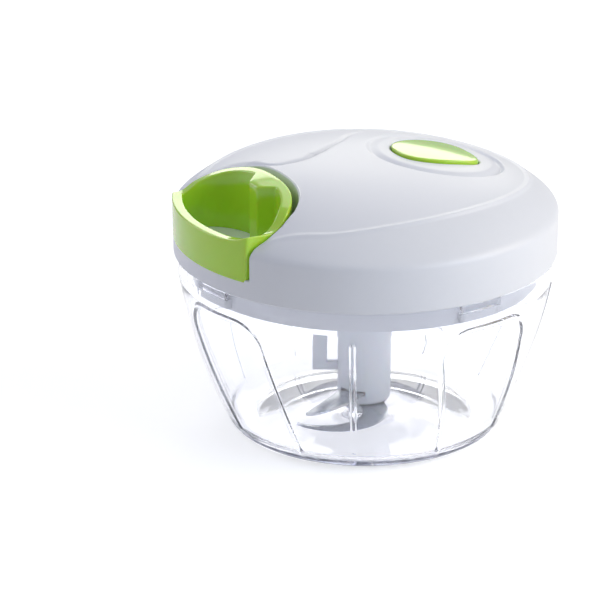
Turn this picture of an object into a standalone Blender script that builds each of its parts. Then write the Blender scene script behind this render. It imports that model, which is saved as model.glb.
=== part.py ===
# Pull-cord onion chopper: a clear bowl with a blade unit on a pin, and a white lid that
# holds a cord reel, a one-way drive, a brake button and a green pull handle.
# Metres, +Z up. The origin is on the table under the middle of the bowl and the handle is at -X.
import math

import bmesh
import bpy

# Fits, shared by every piece
GAP = 0.0003            # between faces that touch on the real object
OVERRUN = 0.004         # how far a cutter runs past what it cuts
BITE = 0.0004           # how deep a moulded detail sinks into the piece that carries it
ROUND_STEPS = 56        # facets round a large turned piece
SMALL_STEPS = 24        # facets round a small turned piece
TINY_STEPS = 12         # facets round a screw or a pin
MERGE = 0.00001         # vertices closer than this are one
SHARP = math.radians(35.0)

# Bowl
BOWL_HEIGHT = 0.0640    # table to the line where bowl and lid meet
RIM_RADIUS = 0.0650
RIM_BAND = 0.0078       # height of the straight band under the rim
RIM_STEP = 0.0002       # how far the wall starts inside the band
BOWL_WALL = 0.0020
BOWL_TAPER = 0.0185     # how much the wall narrows down to the table
BOWL_BELLY = 0.0094     # how far the wall bows out of the straight taper, times four
FOOT_CORNER = 0.0083    # how far the rounded corner runs in under the wall
FOOT_CORNER_RISE = 0.0046
FOOT_LAND = 0.0029      # width of the ring that stands on the table
FOOT_RECESS = 0.0008
FLOOR_THICK = 0.0024
RIB_RADIUS = 0.0009     # beads on the outside of the wall
RIB_DROP = 0.0042       # plain ribs between the windows end this far under the rim band
RIB_FOOT = 0.0085
WINDOW_DROP = 0.0017
WINDOW_CORNER = 0.0070
WINDOW_FOOT = 0.0062
WINDOW_HALF_ANGLE = math.radians(16.8)
WINDOW_LEAN = math.radians(7.0)     # the window sides lean round the bowl on the way down
WINDOW_ANGLE = math.radians(13.0)   # first window, from the handle
RIB_ANGLE = math.radians(58.0)      # first plain rib, from the handle
WINDOWS = 4

# Pin and blade unit
PIN_RADIUS = 0.0025
PIN_TOP = 0.0210
PIN_SEAT = 0.0011       # plastic left under the pin
BOSS_WALL = 0.0024
BOSS_RISE = 0.0012      # boss above the bowl's floor
POST_RADIUS = 0.0094
POST_FOOT_RADIUS = 0.0066
POST_ROUND = 0.0036     # height of the rounded end
POST_FOOT_RISE = 0.0021
POST_DROP = 0.0037      # joint line down to the post's shoulder
HEAD_CORE = 0.0050      # core of the drive head
HEAD_RISE = 0.0079
LOBE_RADIUS = 0.0085
LOBE_ANGLE = math.radians(34.0)
LOBES = 3
BLADE_REACH = 0.0330
BLADE_ROOT = 0.0037     # radius at which a blade's root starts
BLADE_WIDTH = 0.0092
BLADE_TIP_WIDTH = 0.0012
BLADE_THICK = 0.0010
BLADE_EASE = 1.6        # the blade's middle line runs out fast at first and slows to the tip
BLADE_CURL = 1.4        # and turns mostly towards the tip
BLADE_LEVELS = {"blade_lower": 0.0072, "blade_middle": 0.0122, "blade_upper": 0.0160}
BLADE_ROOTS = {"blade_lower": 268.0, "blade_middle": 214.0, "blade_upper": 52.0}
BLADE_SWEEPS = {"blade_lower": -69.0, "blade_middle": -8.0, "blade_upper": 8.0}
PADDLE_ANGLE = math.radians(152.5)
PADDLE_REACH = 0.0182
PADDLE_BAR = 0.0051     # width of the upright bar
PADDLE_THICK = 0.0030
PADDLE_LEVEL = 0.0185
PADDLE_ARM = 0.0028     # height of the arm
PADDLE_TOP = 0.0340
PADDLE_TOOTH = 0.0011
PADDLE_TEETH = 4

# Bayonet between bowl and lid
SKIRT_WALL = 0.0018
SKIRT_DEPTH = 0.0074    # skirt below the joint line
SKIRT_PLAY = 0.0024     # skirt to the bowl's wall
LEDGE_REACH = 0.0019    # ledges stand in from the bowl's wall
LEDGE_TOP_DROP = 0.0010
LEDGE_HEIGHT = 0.0025
LUG_REACH = 0.0018
LUG_HEIGHT = 0.0028
LUG_ANGLE = math.radians(14.0)
LUG_START = math.radians(272.5)
LUGS = 4
SEAL_HEIGHT = 0.0010

# Lid
LID_OVERHANG = 0.0005   # lid wall outside the bowl's rim
LID_WALL = 0.0022
SHOULDER_RISE = 0.0160  # joint line to the shoulder
CROWN_RISE = 0.0322     # joint line to the top
CREST_RISE = 0.0170     # scale of the crest's height over the shoulder
CREST_SHIFT = 0.0040    # crest ellipse, off the axis towards the handle
CREST_END_INSET = 0.0035
CREST_SIDE_INSET = 0.0145
CREST_LIMIT_INSET = 0.0080
BAND_BULGE = 0.0006     # fullness of the band between crest and shoulder
CREST_POWER = 3.6
CROWN_POWER = 2.4
CROWN_POWER_HANDLE = 0.8
PANEL_DROP = 0.0014     # the panel behind the swept line lies this much lower
PANEL_FADE = 0.00015    # step left where the panel runs out at the crest
# The swept line and the far corners of the panel behind it, in lid radii
PANEL_LINE = [(-0.52, 0.235), (-0.455, 0.125), (-0.353, 0.108), (-0.257, 0.122), (-0.101, 0.231),
              (0.064, 0.356), (0.182, 0.491), (0.306, 0.557), (0.42, 0.66)]
PANEL_CORNERS = [(0, 1.02), (-0.58, 0.86)]
ISLAND_SHARE = 0.3435   # half length and half width of the valley round the button, in lid radii
ISLAND_WIDTH_SHARE = 0.3893
ISLAND_AHEAD = 0.0005   # middle of the valley beyond the plunger
ISLAND_GROOVE = 0.0007
ISLAND_POINTS = 48
LID_SEGMENTS = 56
CROWN_RINGS = 7
HOLLOW_SEGMENTS = 44
HOLLOW_RINGS = 4
BAND_SHARES = (0, 0.34, 0.67, 1)

# Recess and pull handle
RECESS_ROOM = 0.0105    # from the spool's rim out to the back of the recess
RECESS_SHARE = 0.4702   # half width of the recess, in lid radii
RECESS_RISE = 0.0070    # joint line to the recess floor
HANDLE_ROOT = 0.0070    # from the lid wall to the widest place of the arch
HANDLE_BACK_GAP = 0.0026
HANDLE_SIDE_GAP = 0.0006
HANDLE_LIFT = 0.0020    # the handle's shoulder stands above the lid's
HANDLE_BAND = 0.0036    # width of the arch
HANDLE_FACE = 0.0036    # thickness of the outer wall
ARCH_POWER = 2.6
ARCH_STEPS = 28
FACE_STEPS = 12
BOSS_ROOT_WIDTH = 0.0160
BOSS_TIP_WIDTH = 0.0062
BOSS_LENGTH = 0.0050
KNOT_RADIUS = 0.0019

# Lid base, bush and drive
BASE_THICK = 0.0018
BUSH_WALL = 0.0017
BUSH_FLANGE = 0.0020
BUSH_FLANGE_THICK = 0.0010
BUSH_RISE = 0.0021      # bush above the base
HUB_WALL = 0.0021
HUB_DROP = 0.0028       # cup below the joint line
HUB_RIB_REACH = 0.0035
BRAKE_DISC_RADIUS = 0.0240
BRAKE_DISC_THICK = 0.0016
RATCHET_RADIUS = 0.0172
RATCHET_VALLEY = 0.0154
RATCHET_TIP = 0.0138
RATCHET_HEIGHT = 0.0035
RATCHET_TEETH = 12
RATCHET_LEAN = math.radians(5.7)    # the driving faces lean along the pawl's own swing
RATCHET_PLAY = 0.0005
SCREW_INSET = 0.0088    # from the skirt's inner side in to the screws
SCREW_ANGLES = (42.0, 128.0, 232.0, 318.0)
SCREW_RADIUS = 0.0011
SCREW_HEAD_RADIUS = 0.0025
SCREW_HEAD_THICK = 0.0010
SCREW_LENGTH = 0.0110
SCREW_BOSS_RADIUS = 0.0032

# Reel
AXLE_RADIUS = 0.0030
AXLE_BOSS_RADIUS = 0.0055
AXLE_BOSS_DROP = 0.0018
AXLE_COVER = 0.0024     # plastic left over the axle
CLIP_THICK = 0.0010
CLIP_WIDTH = 0.0019
PAWL_PIN_CIRCLE = 0.0095
PAWL_PIN_RADIUS = 0.0012
PAWL_EYE_WALL = 0.0009
PAWL_NOSE = 0.0020
PAWL_LEAD = math.radians(24.0)      # nose ahead of its pin
PAWLS = 2
SPOOL_CORE = 0.0156
SPOOL_CORE_WALL = 0.0026
SPOOL_FLANGE_RADIUS = 0.0210
SPOOL_FLANGE_THICK = 0.0014
SPOOL_FLOOR = 0.0029
SPOOL_TUBE_WALL = 0.0015
CORD_RADIUS = 0.0009
CORD_PITCH = 0.00225
CORD_TURNS = 4
CORD_TURN_POINTS = 24
LEAD_WRAP = math.radians(60.0)      # how far the lead lies on the winding before it leaves
LEAD_WRAP_STEPS = 4
LEAD_STEPS = 8
CORD_DROP = 0.0006      # the lead runs down this much to the eyelet
SPRING_STRIP = 0.0004
SPRING_PITCH = 0.0013
SPRING_HEIGHT = 0.0075
SPRING_TURN_POINTS = 16
COVER_THICK = 0.0010
EYELET_WALL = 0.0010
EYELET_FLANGE = 0.0011
EYELET_FLANGE_THICK = 0.0008
EYELET_BORE = 0.0013

# Brake button
PAD_BACK = 0.0007       # middle of the button, behind the plunger
PAD_SHARE = 0.2092      # half length and half width of the button, in lid radii
PAD_WIDTH_SHARE = 0.2046
PAD_POWER = 2.3
PAD_PROUD = 0.0010
PAD_EDGE = 0.0006
PAD_THICK = 0.0022
PAD_PLAY = 0.0004
PAD_POINTS = 32
PAD_RINGS = (0.2, 0.45, 0.7, 0.93)
PAD_UNDER_RINGS = (1, 0.6, 0.2)
PLUNGER_RADIUS = 0.0022
PLUNGER_COLLAR = 0.0014
PLUNGER_COLLAR_THICK = 0.0020
BRAKE_ARM_THICK = 0.0008
BRAKE_ARM_HALF_WIDTH = 0.0030
BRAKE_PAD_THICK = 0.0008
BRAKE_PAD_LENGTH = 0.0046
BRAKE_PAD_INSET = 0.0004
BRIDGE_RISE = 0.0200    # joint line to the bridge
BRIDGE_THICK = 0.0020
BRIDGE_HALF_SPAN = 0.0175
BRIDGE_LEG = 0.0026
BRIDGE_HALF_WIDTH = 0.0036
COIL_WIRE = 0.00040
COIL_TURNS = 4
COIL_TURN_POINTS = 10

# Places worked out from the sizes
LID_RADIUS = RIM_RADIUS + LID_OVERHANG
RIM_INNER = RIM_RADIUS - BOWL_WALL
WALL_TOP = BOWL_HEIGHT - RIM_BAND
RIB_TOP = WALL_TOP - RIB_DROP
WINDOW_TOP = WALL_TOP - WINDOW_DROP
FLOOR_TOP = FOOT_RECESS + FLOOR_THICK
SHOULDER_Z = BOWL_HEIGHT + SHOULDER_RISE
CROWN_Z = BOWL_HEIGHT + CROWN_RISE
RECESS_Z = BOWL_HEIGHT + RECESS_RISE
SKIRT_RADIUS = RIM_INNER - SKIRT_PLAY
BOSS_TOP = FLOOR_TOP + BOSS_RISE
POST_FOOT = BOSS_TOP + GAP
BORE_RADIUS = PIN_RADIUS + GAP
POST_TOP = BOWL_HEIGHT - POST_DROP
HEAD_TOP = POST_TOP + HEAD_RISE
CUP_INNER = LOBE_RADIUS + GAP
CUP_RADIUS = CUP_INNER + HUB_WALL
CUP_ROOF = HEAD_TOP + GAP
BUSH_INNER = CUP_RADIUS + GAP
BUSH_RADIUS = BUSH_INNER + BUSH_WALL
BASE_Z = BOWL_HEIGHT + 2 * GAP
BASE_TOP = BASE_Z + BASE_THICK
BUSH_TOP = BASE_TOP + BUSH_RISE
DISC_Z = max(BUSH_TOP, CUP_ROOF) + GAP
DISC_TOP = DISC_Z + BRAKE_DISC_THICK
SPOOL_Z = DISC_TOP + RATCHET_HEIGHT + GAP
GROOVE_Z = SPOOL_Z + SPOOL_FLANGE_THICK
WIND_RADIUS = SPOOL_CORE + GAP + CORD_RADIUS
WIND_Z = GROOVE_Z + GAP + CORD_RADIUS
WIND_TOP = WIND_Z + CORD_TURNS * CORD_PITCH
LEAD_Z = WIND_TOP + 2 * CORD_RADIUS + GAP
CORD_Z = LEAD_Z - CORD_DROP
GROOVE_TOP = LEAD_Z + CORD_RADIUS + GAP
SPOOL_TOP = GROOVE_TOP + SPOOL_FLANGE_THICK
SCREW_CIRCLE = SKIRT_RADIUS - SKIRT_WALL - SCREW_INSET
RECESS_X = -SPOOL_FLANGE_RADIUS - RECESS_ROOM
RECESS_HALF_WIDTH = RECESS_SHARE * LID_RADIUS
HANDLE_X = RECESS_X - HANDLE_BACK_GAP
KNOT_X = HANDLE_X - HANDLE_BAND - BOSS_LENGTH / 2
BRIDGE_Z = BOWL_HEIGHT + BRIDGE_RISE
PLUNGER_X = BRAKE_DISC_RADIUS + GAP + PLUNGER_RADIUS
PAD_X = PLUNGER_X - PAD_BACK
PAD_HALF_LENGTH = PAD_SHARE * LID_RADIUS
PAD_HALF_WIDTH = PAD_WIDTH_SHARE * LID_RADIUS
ISLAND_X = PLUNGER_X + ISLAND_AHEAD
ISLAND_LENGTH = ISLAND_SHARE * LID_RADIUS
ISLAND_WIDTH = ISLAND_WIDTH_SHARE * LID_RADIUS
BRAKE_ARM_TOP = SPOOL_Z - GAP
BRAKE_PAD_TOP = BRAKE_ARM_TOP - BRAKE_ARM_THICK - GAP
BRAKE_TRAVEL = BRAKE_PAD_TOP - BRAKE_PAD_THICK - DISC_TOP - GAP


# Scene, materials and objects

def clear_scene():
    for item in list(bpy.data.objects):
        bpy.data.objects.remove(item)


def new_collection(name):
    collection = bpy.data.collections.new(name)
    bpy.context.scene.collection.children.link(collection)
    return collection


def new_material(name, color, roughness, metallic=0.0, transmission=0.0):
    made = bpy.data.materials.new(name)
    made.use_nodes = True
    shader = made.node_tree.nodes["Principled BSDF"]
    shader.inputs["Base Color"].default_value = (*color, 1.0)
    shader.inputs["Roughness"].default_value = roughness
    shader.inputs["Metallic"].default_value = metallic
    shader.inputs["Transmission Weight"].default_value = transmission
    return made


def place(name, mesh, material=None, location=(0, 0, 0)):
    item = bpy.data.objects.new(name, mesh)
    item.location = location
    if material is None:
        CUTTERS.objects.link(item)
        item.hide_render = True
        item.display_type = "WIRE"
    else:
        MODEL.objects.link(item)
        mesh.materials.append(material)
        mesh.shade_smooth()
        mesh.set_sharp_from_angle(angle=SHARP)
    return item


def mesh_from(name, shape):
    bmesh.ops.recalc_face_normals(shape, faces=shape.faces)
    mesh = bpy.data.meshes.new(name)
    shape.to_mesh(mesh)
    shape.free()
    return mesh


def combine(target, other, operation):
    modifier = target.modifiers.new(other.name, "BOOLEAN")
    modifier.operation = operation
    modifier.object = other


def cut(target, *others):
    for other in others:
        combine(target, other, "DIFFERENCE")


def unite(target, *others):
    for other in others:
        combine(target, other, "UNION")


# Shapes

def turned(name, profile, material=None, location=(0, 0, 0), steps=ROUND_STEPS):
    # The profile runs down the outer side; one that leaves the axis free is a closed ring.
    on_axis = profile[0][0] == 0
    shape = bmesh.new()
    verts = [shape.verts.new((radius, 0, z)) for radius, z in profile]
    for first, second in zip(verts, verts[1:]):
        shape.edges.new((first, second))
    if not on_axis:
        shape.edges.new((verts[-1], verts[0]))
    mesh = bpy.data.meshes.new(name)
    shape.to_mesh(mesh)
    shape.free()
    item = place(name, mesh, material, location)
    screw = item.modifiers.new("Turn", "SCREW")
    screw.steps = screw.render_steps = steps
    screw.use_merge_vertices = True
    screw.merge_threshold = MERGE
    return item


def disc(name, radius, low, high, material=None, x=0, y=0, steps=SMALL_STEPS):
    return turned(name, [(0, high), (radius, high), (radius, low), (0, low)], material, (x, y, 0), steps)


def prism(name, outline, low, high, material=None, location=(0, 0, 0)):
    shape = bmesh.new()
    face = shape.faces.new([shape.verts.new((x, y, low)) for x, y in outline])
    raised = bmesh.ops.extrude_face_region(shape, geom=[face])["geom"]
    top = [item for item in raised if isinstance(item, bmesh.types.BMVert)]
    bmesh.ops.translate(shape, verts=top, vec=(0, 0, high - low))
    return place(name, mesh_from(name, shape), material, location)


def box(name, low, high, material=None):
    outline = [(low[0], low[1]), (high[0], low[1]), (high[0], high[1]), (low[0], high[1])]
    return prism(name, outline, low[2], high[2], material)


def polar(radius, angle):
    return radius * math.cos(angle), radius * math.sin(angle)


def arc(radius, start, end, steps):
    return [polar(radius, start + (end - start) * i / steps) for i in range(steps + 1)]


def sector(name, inner, outer, low, high, start, sweep, steps=6):
    outline = arc(outer, start, start + sweep, steps) + arc(inner, start + sweep, start, steps)
    return prism(name, outline, low, high)


def least_gap(points, radius, apart):
    # Least clear space between two stretches of one tube, at least so many points apart.
    count = len(points)
    middles = [math.dist(points[i], points[j]) for i in range(count) for j in range(i + apart, count)]
    return min(middles) - 2 * radius


def loft(name, rings, material=None):
    # Skins rings of equal count from the top ring to the bottom one and closes both ends.
    shape = bmesh.new()
    rows = [[shape.verts.new(point) for point in ring] for ring in rings]
    count = len(rows[0])
    for upper, lower in zip(rows, rows[1:]):
        for i in range(count):
            j = (i + 1) % count
            shape.faces.new((upper[i], upper[j], lower[j], lower[i]))
    shape.faces.new(rows[0])
    shape.faces.new(rows[-1])
    return place(name, mesh_from(name, shape), material)


def tube(name, points, radius, material=None, sides=1, cyclic=False):
    # A round bar along the points; as a mesh it can be cut, joined and cut with.
    curve = bpy.data.curves.new(name, "CURVE")
    curve.dimensions = "3D"
    curve.bevel_depth = radius
    curve.bevel_resolution = sides
    curve.use_fill_caps = not cyclic
    spline = curve.splines.new("POLY")
    spline.points.add(len(points) - 1)
    for slot, point in zip(spline.points, points):
        slot.co = (*point, 1)
    spline.use_cyclic_u = cyclic
    path = bpy.data.objects.new(name + "_path", curve)
    CUTTERS.objects.link(path)
    bpy.context.view_layer.update()
    mesh = bpy.data.meshes.new_from_object(path.evaluated_get(bpy.context.evaluated_depsgraph_get()))
    bpy.data.objects.remove(path)
    shape = bmesh.new()
    shape.from_mesh(mesh)
    bmesh.ops.remove_doubles(shape, verts=shape.verts, dist=MERGE)
    return place(name, mesh_from(name, shape), material)


# Surfaces that several pieces share

def wall_radius(z):
    # Outer radius of the bowl's wall at a height.
    share = (WALL_TOP - z) / WALL_TOP
    return RIM_RADIUS - RIM_STEP - BOWL_TAPER * share + BOWL_BELLY * share * (1 - share)


def crest_radius(angle, radius):
    # Distance from the axis to the crest, an ellipse shifted to the handle and clipped at its ends.
    long_half = radius - CREST_END_INSET
    wide_half = radius - CREST_SIDE_INSET
    along, across = math.cos(angle), math.sin(angle)
    a = (along / long_half) ** 2 + (across / wide_half) ** 2
    b = 2 * CREST_SHIFT * along / long_half ** 2
    c = (CREST_SHIFT / long_half) ** 2 - 1
    return min((math.sqrt(b * b - 4 * a * c) - b) / (2 * a), radius - CREST_LIMIT_INSET)


def lid_surface(angle, distance, radius=LID_RADIUS, lift=0, top=CROWN_Z):
    # Height of the lid's outside at a distance from the axis.
    crest = crest_radius(angle, radius)
    shoulder = SHOULDER_Z + lift
    crest_z = shoulder + (CREST_RISE - lift) * (1 - (crest / radius) ** CREST_POWER)
    if distance <= crest:
        power = CROWN_POWER + CROWN_POWER_HANDLE * max(-math.cos(angle), 0) ** 2
        return crest_z + (top - crest_z) * (1 - (distance / crest) ** power)
    share = (distance - crest) / (radius - crest)
    return crest_z + (shoulder - crest_z) * share + 4 * BAND_BULGE * share * (1 - share)


def crown_at(x, y):
    return lid_surface(math.atan2(y, x), math.hypot(x, y))


def lid_solid(name, bottom, material=None, inset=0, lift=0, rise=0, top=CROWN_Z, segments=LID_SEGMENTS,
              rings=CROWN_RINGS):
    # The lid's outer form as a filled solid, moved in by the inset and up by the rise.
    radius = LID_RADIUS
    angles = [2 * math.pi * i / segments for i in range(segments)]
    rows = []
    for share in [(i + 1) / (rings + 1) for i in range(rings)] + [1 + share for share in BAND_SHARES]:
        row = []
        for angle in angles:
            crest = crest_radius(angle, radius)
            if share <= 1:
                distance = crest * share
            else:
                distance = crest + (radius - crest) * (share - 1)
            z = lid_surface(angle, distance, radius, lift, top) - inset + rise
            row.append((*polar(distance * (1 - inset / radius), angle), z))
        rows.append(row)
    rows.append([(x, y, bottom) for x, y, z in rows[-1]])
    return loft(name, rows, material)


def arch(back_x, half_width, root_x):
    # Half a superellipse, open towards the outside of the lid, from +Y round to -Y.
    points = []
    for i in range(ARCH_STEPS + 1):
        turn = math.pi / 2 - math.pi * i / ARCH_STEPS
        along, across = math.cos(turn), math.sin(turn)
        x = root_x + (back_x - root_x) * abs(along) ** (2 / ARCH_POWER)
        points.append((x, math.copysign(half_width * abs(across) ** (2 / ARCH_POWER), across)))
    return points


def pad_outline(margin=0):
    points = []
    for i in range(PAD_POINTS):
        turn = 2 * math.pi * i / PAD_POINTS
        along, across = math.cos(turn), math.sin(turn)
        x = (PAD_HALF_LENGTH + margin) * math.copysign(abs(along) ** (2 / PAD_POWER), along)
        y = (PAD_HALF_WIDTH + margin) * math.copysign(abs(across) ** (2 / PAD_POWER), across)
        points.append((x, y))
    return points


# Bowl and pin

def foot_corner(inset, bottom, steps=3):
    # Rounded corner from the wall down to the foot, as seen in section.
    top = bottom + FOOT_CORNER_RISE
    top_radius = wall_radius(top) - inset
    points = []
    for i in range(1, steps + 1):
        turn = math.pi / 2 * i / steps
        radius = top_radius - FOOT_CORNER * (1 - math.cos(turn))
        points.append((radius, top - FOOT_CORNER_RISE * math.sin(turn)))
    return points


def make_bowl():
    levels = 6
    outer_foot = FOOT_CORNER_RISE
    inner_foot = FLOOR_TOP + FOOT_CORNER_RISE
    outer = []
    inner = []
    for i in range(levels + 1):
        outer_z = WALL_TOP + (outer_foot - WALL_TOP) * i / levels
        inner_z = WALL_TOP + (inner_foot - WALL_TOP) * i / levels
        outer.append((wall_radius(outer_z), outer_z))
        inner.append((wall_radius(inner_z) - BOWL_WALL, inner_z))
    outside = [(RIM_RADIUS, BOWL_HEIGHT), (RIM_RADIUS, WALL_TOP)] + outer + foot_corner(0, 0)
    foot_radius = outside[-1][0]
    land = foot_radius - FOOT_LAND
    under = [(land, 0), (land - FOOT_RECESS, FOOT_RECESS), (0, FOOT_RECESS)]
    inside = [(RIM_INNER, BOWL_HEIGHT)] + inner + foot_corner(BOWL_WALL, FLOOR_TOP)
    boss = PIN_RADIUS + GAP + BOSS_WALL
    seat = FOOT_RECESS + PIN_SEAT
    well = [(boss, FLOOR_TOP), (boss, BOSS_TOP), (BORE_RADIUS, BOSS_TOP), (BORE_RADIUS, seat), (0, seat)]
    profile = list(reversed(inside + well)) + outside + under
    bowl = turned("bowl", profile, CLEAR)
    for i in range(WINDOWS):
        turn = math.pi + math.tau * i / WINDOWS
        unite(bowl, tube("window_rib", window_path(turn + WINDOW_ANGLE), RIB_RADIUS))
        unite(bowl, tube("plain_rib", rib_path(turn + RIB_ANGLE), RIB_RADIUS))
    top = BOWL_HEIGHT - LEDGE_TOP_DROP
    for i in range(LUGS):
        start = LUG_START + math.tau * i / LUGS
        inner = RIM_INNER - LEDGE_REACH
        unite(bowl, sector("ledge", inner, RIM_INNER + BITE, top - LEDGE_HEIGHT, top, start, LUG_ANGLE))
    return bowl


def on_wall(angle, z):
    return (*polar(wall_radius(z), angle), z)


def rib_path(angle, points=7):
    return [on_wall(angle, RIB_TOP + (RIB_FOOT - RIB_TOP) * i / (points - 1)) for i in range(points)]


def window_path(angle, side_points=7, corner_points=4):
    # Up one side, over the rounded top and down the other side; both sides lean the same way.
    corner_z = WINDOW_TOP - WINDOW_CORNER
    corner_angle = WINDOW_CORNER / wall_radius(corner_z)
    side = []
    for i in range(side_points):
        share = i / side_points
        side.append((WINDOW_HALF_ANGLE, WINDOW_FOOT + (corner_z - WINDOW_FOOT) * share, 1 - share))
    for i in range(corner_points + 1):
        turn = math.pi / 2 * i / corner_points
        offset = WINDOW_HALF_ANGLE - corner_angle * (1 - math.cos(turn))
        side.append((offset, corner_z + WINDOW_CORNER * math.sin(turn), 0))
    left = [on_wall(angle - offset + WINDOW_LEAN * lean, z) for offset, z, lean in side]
    right = [on_wall(angle + offset + WINDOW_LEAN * lean, z) for offset, z, lean in reversed(side)]
    return left + right


def make_pin():
    return disc("pivot_pin", PIN_RADIUS, FOOT_RECESS + PIN_SEAT + GAP, PIN_TOP, STEEL)


# Blade unit

def blade_outline(name, clearance=0, points=12):
    # A band along a curve that swings round the post while it runs out to the tip.
    root = math.radians(BLADE_ROOTS[name])
    sweep = math.radians(BLADE_SWEEPS[name])
    start = BLADE_ROOT - clearance
    middle = []
    for i in range(points + 1):
        share = i / points
        distance = start + (BLADE_REACH - start) * (1 - (1 - share) ** BLADE_EASE)
        middle.append(polar(distance, root + sweep * share ** BLADE_CURL))
    left = []
    right = []
    for i, (x, y) in enumerate(middle):
        ahead = middle[min(i + 1, points)]
        behind = middle[max(i - 1, 0)]
        length = math.hypot(ahead[0] - behind[0], ahead[1] - behind[1])
        side = ((behind[1] - ahead[1]) / length, (ahead[0] - behind[0]) / length)
        share = i / points
        half = (BLADE_TIP_WIDTH + (BLADE_WIDTH - BLADE_TIP_WIDTH) * (1 - share ** 2)) / 2 + clearance
        left.append((x + side[0] * half, y + side[1] * half))
        right.append((x - side[0] * half, y - side[1] * half))
    return left + right[::-1]


def make_blade(name):
    level = BLADE_LEVELS[name]
    return prism(name, blade_outline(name), level, level + BLADE_THICK, STEEL)


def paddle_outline(clearance=0):
    # The L of arm and upright bar with its toothed top, in the plane through the axis.
    low = PADDLE_LEVEL - clearance
    arm_top = PADDLE_LEVEL + PADDLE_ARM + clearance
    inner = PADDLE_REACH - PADDLE_BAR
    tooth = PADDLE_BAR / (2 * PADDLE_TEETH - 1)
    points = [(BLADE_ROOT - clearance, low), (PADDLE_REACH, low)]
    for i in range(PADDLE_TEETH):
        edge = PADDLE_REACH - 2 * tooth * i
        points += [(edge, PADDLE_TOP), (edge - tooth, PADDLE_TOP)]
        if i < PADDLE_TEETH - 1:
            valley = PADDLE_TOP - PADDLE_TOOTH
            points += [(edge - tooth, valley), (edge - 2 * tooth, valley)]
    return points + [(inner, arm_top), (BLADE_ROOT - clearance, arm_top)]


def paddle_solid(name, clearance=0, material=None):
    half = PADDLE_THICK / 2 + clearance
    item = prism(name, paddle_outline(clearance), -half, half, material)
    item.rotation_euler = (math.pi / 2, 0, PADDLE_ANGLE)
    return item


def make_post():
    profile = [(0, HEAD_TOP), (HEAD_CORE, HEAD_TOP), (HEAD_CORE, POST_TOP), (POST_RADIUS, POST_TOP)]
    foot_top = POST_FOOT + POST_FOOT_RISE
    for i in range(5):
        turn = math.pi / 2 * i / 4
        radius = POST_FOOT_RADIUS + (POST_RADIUS - POST_FOOT_RADIUS) * math.cos(turn)
        profile.append((radius, foot_top + POST_ROUND * (1 - math.sin(turn))))
    bore_top = PIN_TOP + GAP
    profile += [(POST_FOOT_RADIUS, POST_FOOT), (BORE_RADIUS, POST_FOOT)]
    profile += [(BORE_RADIUS, bore_top), (0, bore_top)]
    post = turned("blade_post", profile, WHITE, steps=32)
    for i in range(LOBES):
        start = math.tau * i / LOBES - LOBE_ANGLE / 2
        low = POST_TOP - BITE
        unite(post, sector("lobe", HEAD_CORE - BITE, LOBE_RADIUS, low, HEAD_TOP - GAP, start, LOBE_ANGLE))
    for name, level in BLADE_LEVELS.items():
        cut(post, prism(name + "_slot", blade_outline(name, GAP), level - GAP, level + BLADE_THICK + GAP))
    cut(post, paddle_solid("paddle_slot", GAP))
    return post


# Lid shell, base and seal

def recess_outline(margin=0):
    # Plan of the recess for the handle; it runs out through the lid wall.
    outside = -LID_RADIUS - OVERRUN
    points = arch(RECESS_X + margin, RECESS_HALF_WIDTH + margin, -LID_RADIUS + HANDLE_ROOT)
    return [(outside, RECESS_HALF_WIDTH + margin)] + points + [(outside, -RECESS_HALF_WIDTH - margin)]


def panel_cutter():
    # Lowers the crown behind the swept line: a prism of that panel less a flatter crown.
    outline = [(x * LID_RADIUS, y * LID_RADIUS) for x, y in PANEL_LINE + PANEL_CORNERS]
    panel = prism("panel", outline, SHOULDER_Z, CROWN_Z + OVERRUN)
    cut(panel, lid_solid("panel_floor", BOWL_HEIGHT, rise=PANEL_FADE, top=CROWN_Z - PANEL_DROP))
    return panel


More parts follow.
